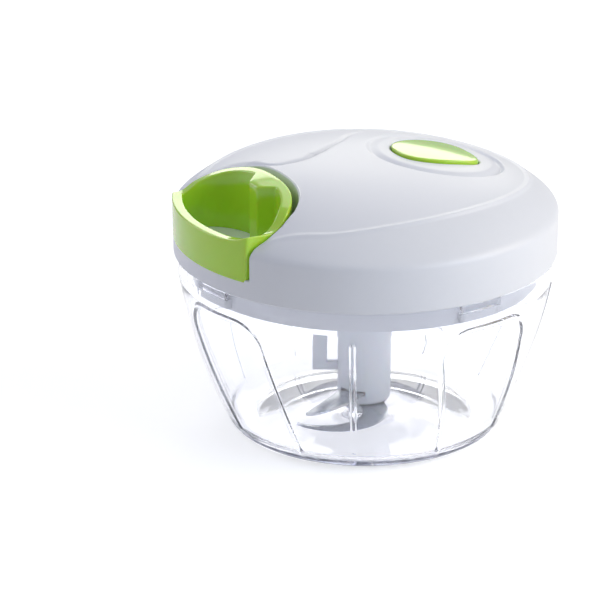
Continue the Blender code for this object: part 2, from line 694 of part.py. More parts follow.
def make_lid_shell():
    bottom = BOWL_HEIGHT + GAP
    shell = lid_solid("lid_shell", bottom, WHITE)
    hollow = lid_solid("lid_hollow", bottom - OVERRUN, inset=LID_WALL, segments=HOLLOW_SEGMENTS,
                       rings=HOLLOW_RINGS)
    cut(hollow, prism("recess_wall", recess_outline(LID_WALL), RECESS_Z - LID_WALL, CROWN_Z + OVERRUN))
    boss_low = BASE_TOP + GAP
    for angle in SCREW_ANGLES:
        x, y = polar(SCREW_CIRCLE, math.radians(angle))
        boss = disc("screw_boss", SCREW_BOSS_RADIUS, boss_low, CROWN_Z + OVERRUN, x=x, y=y, steps=TINY_STEPS)
        cut(hollow, boss)
    boss_low = CROWN_Z - LID_WALL - AXLE_BOSS_DROP
    cut(hollow, disc("axle_boss", AXLE_BOSS_RADIUS, boss_low, CROWN_Z + OVERRUN))
    cut(shell, hollow)
    cut(shell, prism("recess", recess_outline(), RECESS_Z, CROWN_Z + OVERRUN))
    cut(shell, prism("pad_hole", pad_outline(PAD_PLAY), BOWL_HEIGHT + CROWN_RISE / 2, CROWN_Z + OVERRUN,
                     location=(PAD_X, 0, 0)))
    cut(shell, disc("axle_hole", AXLE_RADIUS + GAP, boss_low - OVERRUN, CROWN_Z - AXLE_COVER, steps=20))
    for angle in SCREW_ANGLES:
        x, y = polar(SCREW_CIRCLE, math.radians(angle))
        top = BASE_Z + SCREW_LENGTH + GAP
        cut(shell, disc("screw_hole", SCREW_RADIUS + GAP, BASE_TOP - GAP, top, x=x, y=y, steps=TINY_STEPS))
    hole = disc("eyelet_hole", EYELET_BORE + EYELET_WALL + GAP, -OVERRUN, OVERRUN)
    hole.location = (RECESS_X + LID_WALL / 2, 0, CORD_Z)
    hole.rotation_euler = (0, math.pi / 2, 0)
    cut(shell, hole)
    island = []
    for i in range(ISLAND_POINTS):
        turn = math.tau * i / ISLAND_POINTS
        x = ISLAND_X + ISLAND_LENGTH * math.cos(turn)
        y = ISLAND_WIDTH * math.sin(turn)
        island.append((x, y, crown_at(x, y) + ISLAND_GROOVE / 2))
    cut(shell, tube("island_groove", island, ISLAND_GROOVE, cyclic=True))
    cut(shell, panel_cutter())
    return shell


def make_lid_base():
    outer = LID_RADIUS - LID_WALL - GAP
    hole = BUSH_RADIUS + GAP
    skirt_low = BOWL_HEIGHT - SKIRT_DEPTH
    profile = [(outer, BASE_TOP), (outer, BASE_Z), (SKIRT_RADIUS, BASE_Z), (SKIRT_RADIUS, skirt_low),
               (SKIRT_RADIUS - SKIRT_WALL, skirt_low), (SKIRT_RADIUS - SKIRT_WALL, BASE_Z), (hole, BASE_Z),
               (hole, BASE_TOP)]
    base = turned("lid_base", profile, WHITE)
    lug_top = BOWL_HEIGHT - LEDGE_TOP_DROP - LEDGE_HEIGHT - GAP
    lug_low = lug_top - LUG_HEIGHT
    for i in range(LUGS):
        start = LUG_START + math.tau * i / LUGS
        outer = SKIRT_RADIUS + LUG_REACH
        unite(base, sector("lug", SKIRT_RADIUS - BITE, outer, lug_low, lug_top, start, LUG_ANGLE))
    for angle in SCREW_ANGLES:
        x, y = polar(SCREW_CIRCLE, math.radians(angle))
        cut(base, disc("base_hole", SCREW_RADIUS + GAP, BASE_Z - OVERRUN, BASE_TOP + OVERRUN, x=x, y=y,
                       steps=TINY_STEPS))
    return base


def make_seal():
    inner = SKIRT_RADIUS + GAP
    outer = RIM_INNER - GAP
    top = BASE_Z - GAP
    low = top - SEAL_HEIGHT
    return turned("lid_seal", [(outer, top), (outer, low), (inner, low), (inner, top)], SILICONE)


def make_base_screws():
    for number, angle in enumerate(SCREW_ANGLES, 1):
        x, y = polar(SCREW_CIRCLE, math.radians(angle))
        head_top = BASE_Z - GAP
        top = BASE_Z + SCREW_LENGTH
        profile = [(0, top), (SCREW_RADIUS, top), (SCREW_RADIUS, head_top), (SCREW_HEAD_RADIUS, head_top),
                   (SCREW_HEAD_RADIUS - SCREW_HEAD_THICK / 3, head_top - SCREW_HEAD_THICK),
                   (0, head_top - SCREW_HEAD_THICK)]
        turned(f"base_screw_{number}", profile, STEEL, (x, y, 0), TINY_STEPS)


# Drive between reel and blade unit

def make_bush():
    low = BASE_Z - GAP
    flange_low = BASE_TOP + GAP
    flange_top = flange_low + BUSH_FLANGE_THICK
    profile = [(BUSH_RADIUS, BUSH_TOP), (BUSH_RADIUS, flange_top), (BUSH_RADIUS + BUSH_FLANGE, flange_top),
               (BUSH_RADIUS + BUSH_FLANGE, flange_low), (BUSH_RADIUS, flange_low), (BUSH_RADIUS, low),
               (BUSH_INNER, low), (BUSH_INNER, BUSH_TOP)]
    return turned("bearing_bush", profile, GREY, steps=32)


def ratchet_outline():
    # Saw teeth: each valley deepens anticlockwise and ends at a steep face that the pawl pushes.
    face = math.pi / 2 + PAWL_LEAD + RATCHET_PLAY / RATCHET_TIP
    pitch = math.tau / RATCHET_TEETH
    points = []
    for i in range(RATCHET_TEETH):
        start = face + pitch * i
        points.append(polar(RATCHET_VALLEY, start))
        points.append(polar(RATCHET_TIP, start + RATCHET_LEAN))
        points.append(polar((RATCHET_TIP + RATCHET_VALLEY) / 2, start + (RATCHET_LEAN + pitch) / 2))
    return points


def make_drive_hub():
    ring_top = DISC_TOP + RATCHET_HEIGHT - GAP
    cup_low = BOWL_HEIGHT - HUB_DROP
    profile = [(0, ring_top), (RATCHET_RADIUS, ring_top), (RATCHET_RADIUS, DISC_TOP),
               (BRAKE_DISC_RADIUS, DISC_TOP), (BRAKE_DISC_RADIUS, DISC_Z), (CUP_RADIUS, DISC_Z),
               (CUP_RADIUS, cup_low), (CUP_INNER, cup_low), (CUP_INNER, CUP_ROOF), (0, CUP_ROOF)]
    hub = turned("drive_hub", profile, GREY, steps=36)
    cut(hub, prism("ratchet_teeth", ratchet_outline(), DISC_TOP, ring_top + OVERRUN))
    for i in range(LOBES):
        start = math.tau * (i + 0.5) / LOBES - LOBE_ANGLE / 2
        inner = CUP_INNER - HUB_RIB_REACH
        outer = CUP_INNER + BITE
        unite(hub, sector("hub_rib", inner, outer, cup_low + BITE, CUP_ROOF + BITE, start, LOBE_ANGLE))
    return hub


def pawl_pin_place(number):
    return polar(PAWL_PIN_CIRCLE, math.pi / 2 + math.tau * number / PAWLS)


def make_pawl(number):
    # An eye on the spool's pin and a nose that points ahead to the ratchet.
    eye = PAWL_PIN_RADIUS + GAP
    outer = eye + PAWL_EYE_WALL
    reach = RATCHET_VALLEY - 2 * GAP
    tip_far = polar(reach, math.pi / 2 + PAWL_LEAD)
    tip_near = polar(reach - PAWL_NOSE, math.pi / 2 + PAWL_LEAD)
    tip_far = (tip_far[0], tip_far[1] - PAWL_PIN_CIRCLE)
    tip_near = (tip_near[0], tip_near[1] - PAWL_PIN_CIRCLE)
    lean = math.atan2(tip_far[1], tip_far[0])
    outline = [tip_near] + arc(outer, lean + math.pi / 2, lean + math.pi * 1.5, 10) + [tip_far]
    x, y = pawl_pin_place(number)
    pawl = prism(f"pawl_{number + 1}", outline, DISC_TOP + GAP, SPOOL_Z - GAP, STEEL, (x, y, 0))
    pawl.rotation_euler = (0, 0, math.tau * number / PAWLS)
    cut(pawl, disc("pawl_eye", eye, DISC_TOP, SPOOL_Z, x=x, y=y, steps=16))
    return pawl


# Reel

def make_axle():
    return disc("spool_axle", AXLE_RADIUS, DISC_TOP + GAP, CROWN_Z - AXLE_COVER - GAP, STEEL)


def make_clip():
    top = SPOOL_Z - GAP
    inner = AXLE_RADIUS + GAP
    outer = inner + CLIP_WIDTH
    low = top - CLIP_THICK
    return turned("axle_clip", [(outer, top), (outer, low), (inner, low), (inner, top)], STEEL, steps=20)


def make_spool():
    bore = AXLE_RADIUS + GAP
    tube_radius = bore + SPOOL_TUBE_WALL
    cavity = SPOOL_CORE - SPOOL_CORE_WALL
    floor = SPOOL_Z + SPOOL_FLOOR
    tube_top = SPOOL_TOP - GAP
    profile = [(SPOOL_FLANGE_RADIUS, SPOOL_TOP), (SPOOL_FLANGE_RADIUS, GROOVE_TOP), (SPOOL_CORE, GROOVE_TOP),
               (SPOOL_CORE, GROOVE_Z), (SPOOL_FLANGE_RADIUS, GROOVE_Z), (SPOOL_FLANGE_RADIUS, SPOOL_Z),
               (bore, SPOOL_Z), (bore, tube_top), (tube_radius, tube_top), (tube_radius, floor),
               (cavity, floor), (cavity, SPOOL_TOP)]
    spool = turned("cord_spool", profile, WHITE, steps=40)
    for number in range(PAWLS):
        x, y = pawl_pin_place(number)
        unite(spool, disc("pawl_pin", PAWL_PIN_RADIUS, DISC_TOP + GAP, SPOOL_Z + BITE, x=x, y=y, steps=16))
    return spool


def make_recoil_spring():
    # A flat strip wound in a spiral between the spool's tube and its wall.
    inner = AXLE_RADIUS + GAP + SPOOL_TUBE_WALL + GAP
    outer = SPOOL_CORE - SPOOL_CORE_WALL - GAP - SPRING_STRIP
    turns = (outer - inner) / SPRING_PITCH
    count = int(turns * SPRING_TURN_POINTS)
    inside = []
    outside = []
    for i in range(count + 1):
        angle = math.tau * turns * i / count
        radius = inner + (outer - inner) * i / count
        inside.append(polar(radius, angle))
        outside.append(polar(radius + SPRING_STRIP, angle))
    low = SPOOL_Z + SPOOL_FLOOR + GAP
    return prism("recoil_spring", inside + outside[::-1], low, low + SPRING_HEIGHT, STEEL)


def make_spring_cover():
    inner = AXLE_RADIUS + 2 * GAP
    outer = SPOOL_CORE - SPOOL_CORE_WALL + SPOOL_TUBE_WALL
    low = SPOOL_TOP + GAP
    top = low + COVER_THICK
    return turned("spring_cover", [(outer, top), (outer, low), (inner, low), (inner, top)], WHITE, steps=32)


def leave_angle():
    # Direction of the point where the cord leaves the winding for the eyelet.
    return math.pi - math.acos(WIND_RADIUS / -RECESS_X)


def make_wound_cord():
    count = CORD_TURNS * CORD_TURN_POINTS
    points = []
    for i in range(count + 1):
        back = (count - i) / count
        angle = leave_angle() - math.tau * CORD_TURNS * back
        points.append((*polar(WIND_RADIUS, angle), WIND_TOP - CORD_TURNS * CORD_PITCH * back))
    gap = least_gap(points, CORD_RADIUS, CORD_TURN_POINTS // 2)
    print(f"wound_cord: least gap to itself {gap * 1000:.2f} mm")
    return tube("wound_cord", points, CORD_RADIUS, CORD)


def make_cord_lead():
    # On top of the winding, then off along the tangent, and straight at the handle through the eyelet.
    angle = leave_angle()
    start = polar(WIND_RADIUS, angle)
    heading = (-math.sin(angle), math.cos(angle))
    end = (RECESS_X + LID_WALL + EYELET_FLANGE_THICK + 2 * GAP, 0)
    length = math.hypot(end[0] - start[0], end[1] - start[1])
    points = []
    for i in range(LEAD_WRAP_STEPS):
        points.append((*polar(WIND_RADIUS, angle - LEAD_WRAP * (1 - i / LEAD_WRAP_STEPS)), LEAD_Z))
    for i in range(LEAD_STEPS + 1):
        share = i / LEAD_STEPS
        blend = (2 * share ** 3 - 3 * share ** 2 + 1, share ** 3 - 2 * share ** 2 + share,
                 3 * share ** 2 - 2 * share ** 3, share ** 3 - share ** 2)
        x = blend[0] * start[0] + blend[1] * heading[0] * length + blend[2] * end[0] - blend[3] * length
        y = blend[0] * start[1] + blend[1] * heading[1] * length + blend[2] * end[1]
        points.append((x, y, LEAD_Z - CORD_DROP * blend[2]))
    return tube("cord_lead", points, CORD_RADIUS, CORD)


def make_eyelet():
    # A flanged sleeve in the back wall of the recess.
    half = LID_WALL / 2 + GAP
    bore = EYELET_BORE
    sleeve = bore + EYELET_WALL
    flange = sleeve + EYELET_FLANGE
    high = half + EYELET_FLANGE_THICK
    profile = [(flange, high), (flange, half), (sleeve, half), (sleeve, -half), (bore, -half), (bore, high)]
    eyelet = turned("cord_eyelet", profile, STEEL, (RECESS_X + LID_WALL / 2, 0, CORD_Z), 20)
    eyelet.rotation_euler = (0, math.pi / 2, 0)
    return eyelet


# Pull handle

def make_handle():
    # The arch's plan cut to the lid's own form, with an open middle and a boss for the cord.
    outside = -LID_RADIUS - OVERRUN
    root = -LID_RADIUS + HANDLE_ROOT
    half = RECESS_HALF_WIDTH - HANDLE_SIDE_GAP
    outline = [(outside, half)] + arch(HANDLE_X, half, root) + [(outside, -half)]
    low = RECESS_Z + GAP
    handle = prism("pull_handle", outline, low, CROWN_Z + OVERRUN, GREEN)
    combine(handle, lid_solid("handle_form", BOWL_HEIGHT, lift=HANDLE_LIFT), "INTERSECT")
    cut(handle, prism("finger_opening", opening_outline(), low - OVERRUN, CROWN_Z + OVERRUN))
    pocket = KNOT_RADIUS + GAP
    pocket_top = CORD_Z + KNOT_RADIUS + 2 * GAP
    pocket_low = (KNOT_X - pocket, -pocket, low - OVERRUN)
    cut(handle, box("knot_pocket", pocket_low, (KNOT_X + pocket, pocket, pocket_top)))
    hole = disc("cord_hole", CORD_RADIUS + GAP, 0, HANDLE_X - KNOT_X + OVERRUN, steps=16)
    hole.location = (KNOT_X, 0, CORD_Z)
    hole.rotation_euler = (0, math.pi / 2, 0)
    cut(handle, hole)
    return handle


def opening_outline():
    # The arch moved in by the band's width, closed by the inner side of the outer wall.
    back = HANDLE_X - HANDLE_BAND
    half = RECESS_HALF_WIDTH - HANDLE_SIDE_GAP - HANDLE_BAND
    face = LID_RADIUS - HANDLE_FACE
    inner = [point for point in arch(back, half, -LID_RADIUS + HANDLE_ROOT)
             if abs(point[1]) > BOSS_ROOT_WIDTH / 2 and math.hypot(*point) < face - GAP]
    upper = [point for point in inner if point[1] > 0]
    lower = [point for point in inner if point[1] < 0]
    tip_x = back - BOSS_LENGTH
    boss = [(upper[-1][0], BOSS_ROOT_WIDTH / 2), (tip_x, BOSS_TIP_WIDTH / 2), (tip_x, -BOSS_TIP_WIDTH / 2),
            (lower[0][0], -BOSS_ROOT_WIDTH / 2)]
    turn = math.atan2(upper[0][1], -upper[0][0])
    return upper + boss + lower + arc(face, math.pi + turn, math.pi - turn, FACE_STEPS)


def make_pull_cord():
    start = RECESS_X + LID_WALL + EYELET_FLANGE_THICK + GAP
    end = KNOT_X + KNOT_RADIUS + GAP
    points = [(start + (end - start) * i / 3, 0, CORD_Z) for i in range(4)]
    return tube("pull_cord", points, CORD_RADIUS, CORD)


def make_knot():
    shape = bmesh.new()
    bmesh.ops.create_uvsphere(shape, u_segments=12, v_segments=8, radius=KNOT_RADIUS)
    return place("cord_knot", mesh_from("cord_knot", shape), CORD, (KNOT_X, 0, CORD_Z))


# Brake button

def make_button():
    # A cap that follows the crown, with a softened edge.
    rows = []
    levels = [(share, PAD_PROUD) for share in PAD_RINGS] + [(1, PAD_PROUD - PAD_EDGE)]
    levels += [(share, PAD_PROUD - PAD_THICK) for share in PAD_UNDER_RINGS]
    for share, rise in levels:
        row = []
        for x, y in pad_outline():
            px, py = PAD_X + x * share, y * share
            row.append((px, py, crown_at(px, py) + rise))
        rows.append(row)
    return loft("brake_button", rows, GREEN)


def make_plunger():
    arm_low = BRAKE_ARM_TOP - BRAKE_ARM_THICK
    top = crown_at(PLUNGER_X, 0) + PAD_PROUD - PAD_THICK - GAP
    collar_top = BRIDGE_Z - GAP
    collar_low = collar_top - PLUNGER_COLLAR_THICK
    collar = PLUNGER_RADIUS + PLUNGER_COLLAR
    profile = [(0, top), (PLUNGER_RADIUS, top), (PLUNGER_RADIUS, collar_top), (collar, collar_top),
               (collar, collar_low), (PLUNGER_RADIUS, collar_low), (PLUNGER_RADIUS, arm_low), (0, arm_low)]
    plunger = turned("brake_plunger", profile, WHITE, (PLUNGER_X, 0, 0), 20)
    low = (RATCHET_RADIUS + BRAKE_PAD_INSET + GAP, -BRAKE_ARM_HALF_WIDTH, arm_low)
    high = (PLUNGER_X + PLUNGER_RADIUS / 2, BRAKE_ARM_HALF_WIDTH, BRAKE_ARM_TOP)
    unite(plunger, box("brake_arm", low, high))
    return plunger


def make_brake_pad():
    start = RATCHET_RADIUS + 2 * BRAKE_PAD_INSET + GAP
    half = BRAKE_ARM_HALF_WIDTH - BRAKE_PAD_INSET
    low = (start, -half, BRAKE_PAD_TOP - BRAKE_PAD_THICK)
    print(f"brake_button: travel {BRAKE_TRAVEL * 1000:.1f} mm")
    return box("brake_pad", low, (start + BRAKE_PAD_LENGTH, half, BRAKE_PAD_TOP), RUBBER)


def make_bridge():
    # Two legs under the crown and a plate that guides the plunger and carries its spring.
    far = math.hypot(PLUNGER_X + BRIDGE_HALF_WIDTH, BRIDGE_HALF_SPAN)
    turn = math.atan2(BRIDGE_HALF_SPAN, PLUNGER_X + BRIDGE_HALF_WIDTH)
    leg_top = lid_surface(turn, far) - LID_WALL - 2 * GAP
    plate_top = BRIDGE_Z + BRIDGE_THICK
    outline = [(-BRIDGE_HALF_SPAN, BRIDGE_Z), (BRIDGE_HALF_SPAN, BRIDGE_Z), (BRIDGE_HALF_SPAN, leg_top),
               (BRIDGE_HALF_SPAN - BRIDGE_LEG, leg_top), (BRIDGE_HALF_SPAN - BRIDGE_LEG, plate_top),
               (BRIDGE_LEG - BRIDGE_HALF_SPAN, plate_top), (BRIDGE_LEG - BRIDGE_HALF_SPAN, leg_top),
               (-BRIDGE_HALF_SPAN, leg_top)]
    bridge = prism("button_bridge", outline, -BRIDGE_HALF_WIDTH, BRIDGE_HALF_WIDTH, WHITE, (PLUNGER_X, 0, 0))
    bridge.rotation_euler = (math.pi / 2, 0, math.pi / 2)
    hole = disc("plunger_hole", PLUNGER_RADIUS + GAP, BRIDGE_Z - OVERRUN, plate_top + OVERRUN, x=PLUNGER_X)
    cut(bridge, hole)
    return bridge


def make_brake_spring():
    low = BRIDGE_Z + BRIDGE_THICK + GAP + COIL_WIRE
    top = crown_at(PLUNGER_X, 0) + PAD_PROUD - PAD_THICK - 2 * GAP - COIL_WIRE
    radius = PLUNGER_RADIUS + 2 * GAP + COIL_WIRE
    count = COIL_TURNS * COIL_TURN_POINTS
    points = []
    for i in range(count + 1):
        x, y = polar(radius, math.tau * COIL_TURNS * i / count)
        points.append((PLUNGER_X + x, y, low + (top - low) * i / count))
    gap = least_gap(points, COIL_WIRE, COIL_TURN_POINTS // 2)
    print(f"brake_spring: least gap to itself {gap * 1000:.2f} mm")
    return tube("brake_spring", points, COIL_WIRE, STEEL)


clear_scene()
MODEL = new_collection("onion_chopper")
CUTTERS = new_collection("cutters")
WHITE = new_material("white_plastic", (0.83, 0.85, 0.90), 0.28)
GREEN = new_material("green_plastic", (0.36, 0.60, 0.05), 0.30)
CLEAR = new_material("clear_plastic", (0.96, 0.97, 0.99), 0.05, transmission=1.0)
GREY = new_material("grey_plastic", (0.55, 0.57, 0.60), 0.45)
STEEL = new_material("steel", (0.62, 0.63, 0.65), 0.22, metallic=1.0)
SILICONE = new_material("silicone", (0.85, 0.86, 0.88), 0.60)
RUBBER = new_material("rubber", (0.05, 0.05, 0.05), 0.80)
CORD = new_material("cord", (0.80, 0.80, 0.78), 0.90)

make_bowl()
make_pin()
make_post()
for blade_name in BLADE_LEVELS:
    make_blade(blade_name)
paddle_solid("mixing_paddle", 0, WHITE)
make_seal()
make_lid_shell()
make_lid_base()
make_base_screws()
make_bush()
make_drive_hub()
for pawl_number in range(PAWLS):
    make_pawl(pawl_number)
make_axle()
make_clip()
make_spool()
make_recoil_spring()
make_spring_cover()
make_wound_cord()
make_cord_lead()
make_eyelet()
make_handle()
make_pull_cord()
make_knot()
make_button()
make_plunger()
make_brake_pad()
make_bridge()
make_brake_spring()
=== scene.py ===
import math

import bmesh
import bpy
import numpy as np
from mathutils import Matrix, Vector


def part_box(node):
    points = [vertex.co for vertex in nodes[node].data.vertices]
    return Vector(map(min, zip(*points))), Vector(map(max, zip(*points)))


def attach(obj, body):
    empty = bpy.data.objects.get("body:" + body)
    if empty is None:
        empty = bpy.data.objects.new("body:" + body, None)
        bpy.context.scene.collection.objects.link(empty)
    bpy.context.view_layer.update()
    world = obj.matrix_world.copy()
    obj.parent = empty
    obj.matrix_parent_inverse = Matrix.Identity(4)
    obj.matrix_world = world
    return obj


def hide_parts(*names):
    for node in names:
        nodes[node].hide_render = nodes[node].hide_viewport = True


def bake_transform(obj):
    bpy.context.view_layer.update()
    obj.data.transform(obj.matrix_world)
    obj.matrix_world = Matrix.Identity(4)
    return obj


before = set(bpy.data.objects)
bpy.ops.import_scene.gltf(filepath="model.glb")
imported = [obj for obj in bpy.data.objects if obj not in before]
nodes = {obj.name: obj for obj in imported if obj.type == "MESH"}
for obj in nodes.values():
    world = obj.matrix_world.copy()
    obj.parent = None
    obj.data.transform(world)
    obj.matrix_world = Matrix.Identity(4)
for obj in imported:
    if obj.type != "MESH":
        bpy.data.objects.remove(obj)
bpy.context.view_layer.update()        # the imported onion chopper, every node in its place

scene = bpy.context.scene
print("frame loaded:", len(nodes), "nodes")


# Camera, lights and floor

view = {
    "place": (-0.39508, -0.75893, 0.37389),
    "turn": (68.906, 0.088, -26.023),      # degrees about X, Y and Z
    "lens": 157.7,                         # mm on a 36 mm sensor
}
camera = bpy.data.objects.new("camera", bpy.data.cameras.new("camera"))
camera.location = view["place"]
camera.rotation_euler = [math.radians(angle) for angle in view["turn"]]
camera.data.lens = view["lens"]
camera.data.sensor_width = 36
camera.data.clip_start = 0.01
scene.collection.objects.link(camera)
scene.camera = camera
scene.view_settings.view_transform = "Standard"
# Light runs a long way inside clear plastic, and its edges and beads turn black where it is cut short.
scene.cycles.max_bounces = 32
scene.cycles.transmission_bounces = 32
scene.cycles.glossy_bounces = 16


def toLinear(hexCode):
    # sRGB hex to the linear colour that a shader takes
    channels = np.array([int(hexCode[i:i + 2], 16) for i in (1, 3, 5)]) / 255
    linear = np.where(channels <= 0.04045, channels / 12.92, ((channels + 0.055) / 1.055) ** 2.4)
    return (*linear.tolist(), 1.0)


def addNode(tree, kind, settings=None, links=None):
    # one node with its settings and the outputs that feed it
    node = tree.nodes.new(kind)
    for name, value in (settings or {}).items():
        if isinstance(name, int) or name in node.inputs:
            node.inputs[name].default_value = value
        else:
            setattr(node, name, value)
    for name, output in (links or {}).items():
        tree.links.new(output, node.inputs[name])
    return node


lamps = {
    # name: azimuth and height in degrees, distance, width, height, power, colour
    "rightSoftbox": (303, 25, 0.85, 0.50, 0.50, 2.80, "#E4F0FF"),
    "keySoftbox": (330, 30, 0.85, 0.50, 0.50, 2.40, "#FFEFCF"),
    "backStrip": (64, 20, 0.90, 0.60, 0.26, 1.20, "#FFFDF0"),
    "backSoftbox": (62, 42, 0.90, 0.50, 0.36, 0.58, "#FFFFFF"),
    "leftSoftbox": (132, 25, 0.90, 0.55, 0.50, 1.90, "#EEEEFF"),
    "topSoftbox": (62, 80, 0.85, 0.50, 0.50, 0.42, "#FAFDFF"),
    "frontSoftbox": (225, 60, 0.85, 0.40, 0.40, 0.50, "#FFFFFF"),
}
aim = np.array([0, 0, 0.055])
for name, (azimuth, elevation, distance, width, height, power, tint) in lamps.items():
    lamp = bpy.data.lights.new(name, "AREA")
    lamp.shape = "RECTANGLE"
    lamp.size = width
    lamp.size_y = height
    lamp.energy = power
    lamp.color = toLinear(tint)[:3]
    item = bpy.data.objects.new(name, lamp)
    around, up = math.radians(azimuth), math.radians(elevation)
    away = np.array([math.cos(around) * math.cos(up), math.sin(around) * math.cos(up), math.sin(up)])
    item.location = aim + away * distance
    item.rotation_euler = (math.pi / 2 - up, 0, around + math.pi / 2)
    scene.collection.objects.link(item)


def rayKinds(tree):
    # the kinds of ray, and 1 for the rays that come from the camera or through the clear bowl
    rays = addNode(tree, "ShaderNodeLightPath")
    seen = addNode(tree, "ShaderNodeMath", {"operation": "MAXIMUM"},
                   {0: rays.outputs["Is Camera Ray"], 1: rays.outputs["Is Transmission Ray"]})
    return rays, seen


# The room is white to the camera and through the clear bowl, and dimmer and bluish as a source of light.
worldLook = {"light": 0.27, "glossy": 0.60, "tint": "#E6ECFA", "seen": 1.0}
world = bpy.data.worlds.new("studio")
world.use_nodes = True
scene.world = world
tree = world.node_tree
tree.nodes.clear()
rays, seen = rayKinds(tree)
level = addNode(tree, "ShaderNodeMapRange", {"To Min": worldLook["light"], "To Max": worldLook["glossy"]},
                {"Value": rays.outputs["Is Glossy Ray"]})
light = addNode(tree, "ShaderNodeBackground", {"Color": toLinear(worldLook["tint"])},
                {"Strength": level.outputs[0]})
white = addNode(tree, "ShaderNodeBackground", {"Color": (1, 1, 1, 1), "Strength": worldLook["seen"]})
either = addNode(tree, "ShaderNodeMixShader", None,
                 {0: seen.outputs[0], 1: light.outputs[0], 2: white.outputs[0]})
addNode(tree, "ShaderNodeOutputWorld", None, {"Surface": either.outputs[0]})

# The floor is matt white paper: its own shade keeps the soft shadow, and rays from the camera and through
# the clear bowl meet it near white, while gloss meets it dimmer.
floorLook = {"half": 3.0, "drop": 0.0001, "colour": "#F2F2F2", "glow": 0.52, "glossyGlow": 0.25}
half = floorLook["half"]
floorMesh = bpy.data.meshes.new("floor")
floorMesh.from_pydata([(-half, -half, 0), (half, -half, 0), (half, half, 0), (-half, half, 0)], [],
                      [(0, 1, 2, 3)])
floor = bpy.data.objects.new("floor", floorMesh)
floor.location = (0, 0, -floorLook["drop"])
scene.collection.objects.link(floor)
paper = bpy.data.materials.new("mattWhitePaper")
paper.use_nodes = True
tree = paper.node_tree
tree.nodes.clear()
rays, seen = rayKinds(tree)
dim = addNode(tree, "ShaderNodeMath", {"operation": "MULTIPLY", 1: floorLook["glossyGlow"]},
              {0: rays.outputs["Is Glossy Ray"]})
glow = addNode(tree, "ShaderNodeMath", {"operation": "MULTIPLY_ADD", 1: floorLook["glow"]},
               {0: seen.outputs[0], 2: dim.outputs[0]})
shade = addNode(tree, "ShaderNodeBsdfDiffuse", {"Color": toLinear(floorLook["colour"])})
shine = addNode(tree, "ShaderNodeEmission", {"Color": (1, 1, 1, 1)}, {"Strength": glow.outputs[0]})
both = addNode(tree, "ShaderNodeAddShader", None, {0: shade.outputs[0], 1: shine.outputs[0]})
addNode(tree, "ShaderNodeOutputMaterial", None, {"Surface": both.outputs[0]})
floorMesh.materials.append(paper)
print("camera, lights and floor set")


# Materials, each named after what the real one is and how it was made

surface = {
    "milkDepth": 0.002, "skinRoughness": 0.05,      # how deep light scatters (m), and how smooth a skin is
    "peelHeight": 0.0002, "lineHeight": 0.00005,    # metres
    "noiseRange": (0.3, 0.7),                       # noise rarely leaves it; it spreads over the whole gloss
}


def mixedColour(tree, look, fac):
    # a colour that wanders between the look's low and high one
    ends = {"data_type": "RGBA", 6: toLinear(look["low"]), 7: toLinear(look["high"])}
    return addNode(tree, "ShaderNodeMix", ends, {0: fac}).outputs[2]


def unevenGloss(tree, look, value):
    # a roughness that wanders between the look's smooth and rough end
    low, high = surface["noiseRange"]
    smooth, rough = look["gloss"]
    spread = {"From Min": low, "From Max": high, "To Min": smooth, "To Max": rough}
    return addNode(tree, "ShaderNodeMapRange", spread, {"Value": value}).outputs[0]


def plastic(name, look):
    # A moulded plastic: mottled colour, uneven gloss and the fine waviness that the mould leaves.
    # Scales are in cycles per metre, from the real sizes in mm.
    made = bpy.data.materials.new(name)
    made.use_nodes = True
    tree = made.node_tree
    shader = tree.nodes["Principled BSDF"]
    shader.inputs["IOR"].default_value = look["ior"]
    shader.inputs["Subsurface Weight"].default_value = look.get("milky", 0)
    shader.inputs["Subsurface Scale"].default_value = surface["milkDepth"]
    shader.inputs["Transmission Weight"].default_value = look.get("clear", 0)
    shader.inputs["Coat Weight"].default_value = look.get("skin", 0)
    shader.inputs["Coat Roughness"].default_value = surface["skinRoughness"]
    place = addNode(tree, "ShaderNodeTexCoord").outputs["Object"]
    mottle = addNode(tree, "ShaderNodeTexNoise", {"Scale": 1000 / look["mottleSize"], "Detail": 3.0},
                     {"Vector": place}).outputs["Fac"]
    tree.links.new(mixedColour(tree, look, mottle), shader.inputs["Base Color"])
    tree.links.new(unevenGloss(tree, look, mottle), shader.inputs["Roughness"])
    peel = addNode(tree, "ShaderNodeTexNoise", {"Scale": 1000 / look["peelSize"], "Detail": 2.0},
                   {"Vector": place})
    bump = addNode(tree, "ShaderNodeBump", {"Strength": look["peel"], "Distance": surface["peelHeight"]},
                   {"Height": peel.outputs["Fac"]})
    tree.links.new(bump.outputs[0], shader.inputs["Normal"])
    if "veil" in look:
        # long ways through clear plastic, along its edges and beads, lose some light
        tint, density = look["veil"]
        veil = addNode(tree, "ShaderNodeVolumeAbsorption", {"Color": toLinear(tint), "Density": density})
        tree.links.new(veil.outputs[0], tree.nodes["Material Output"].inputs["Volume"])
    return made


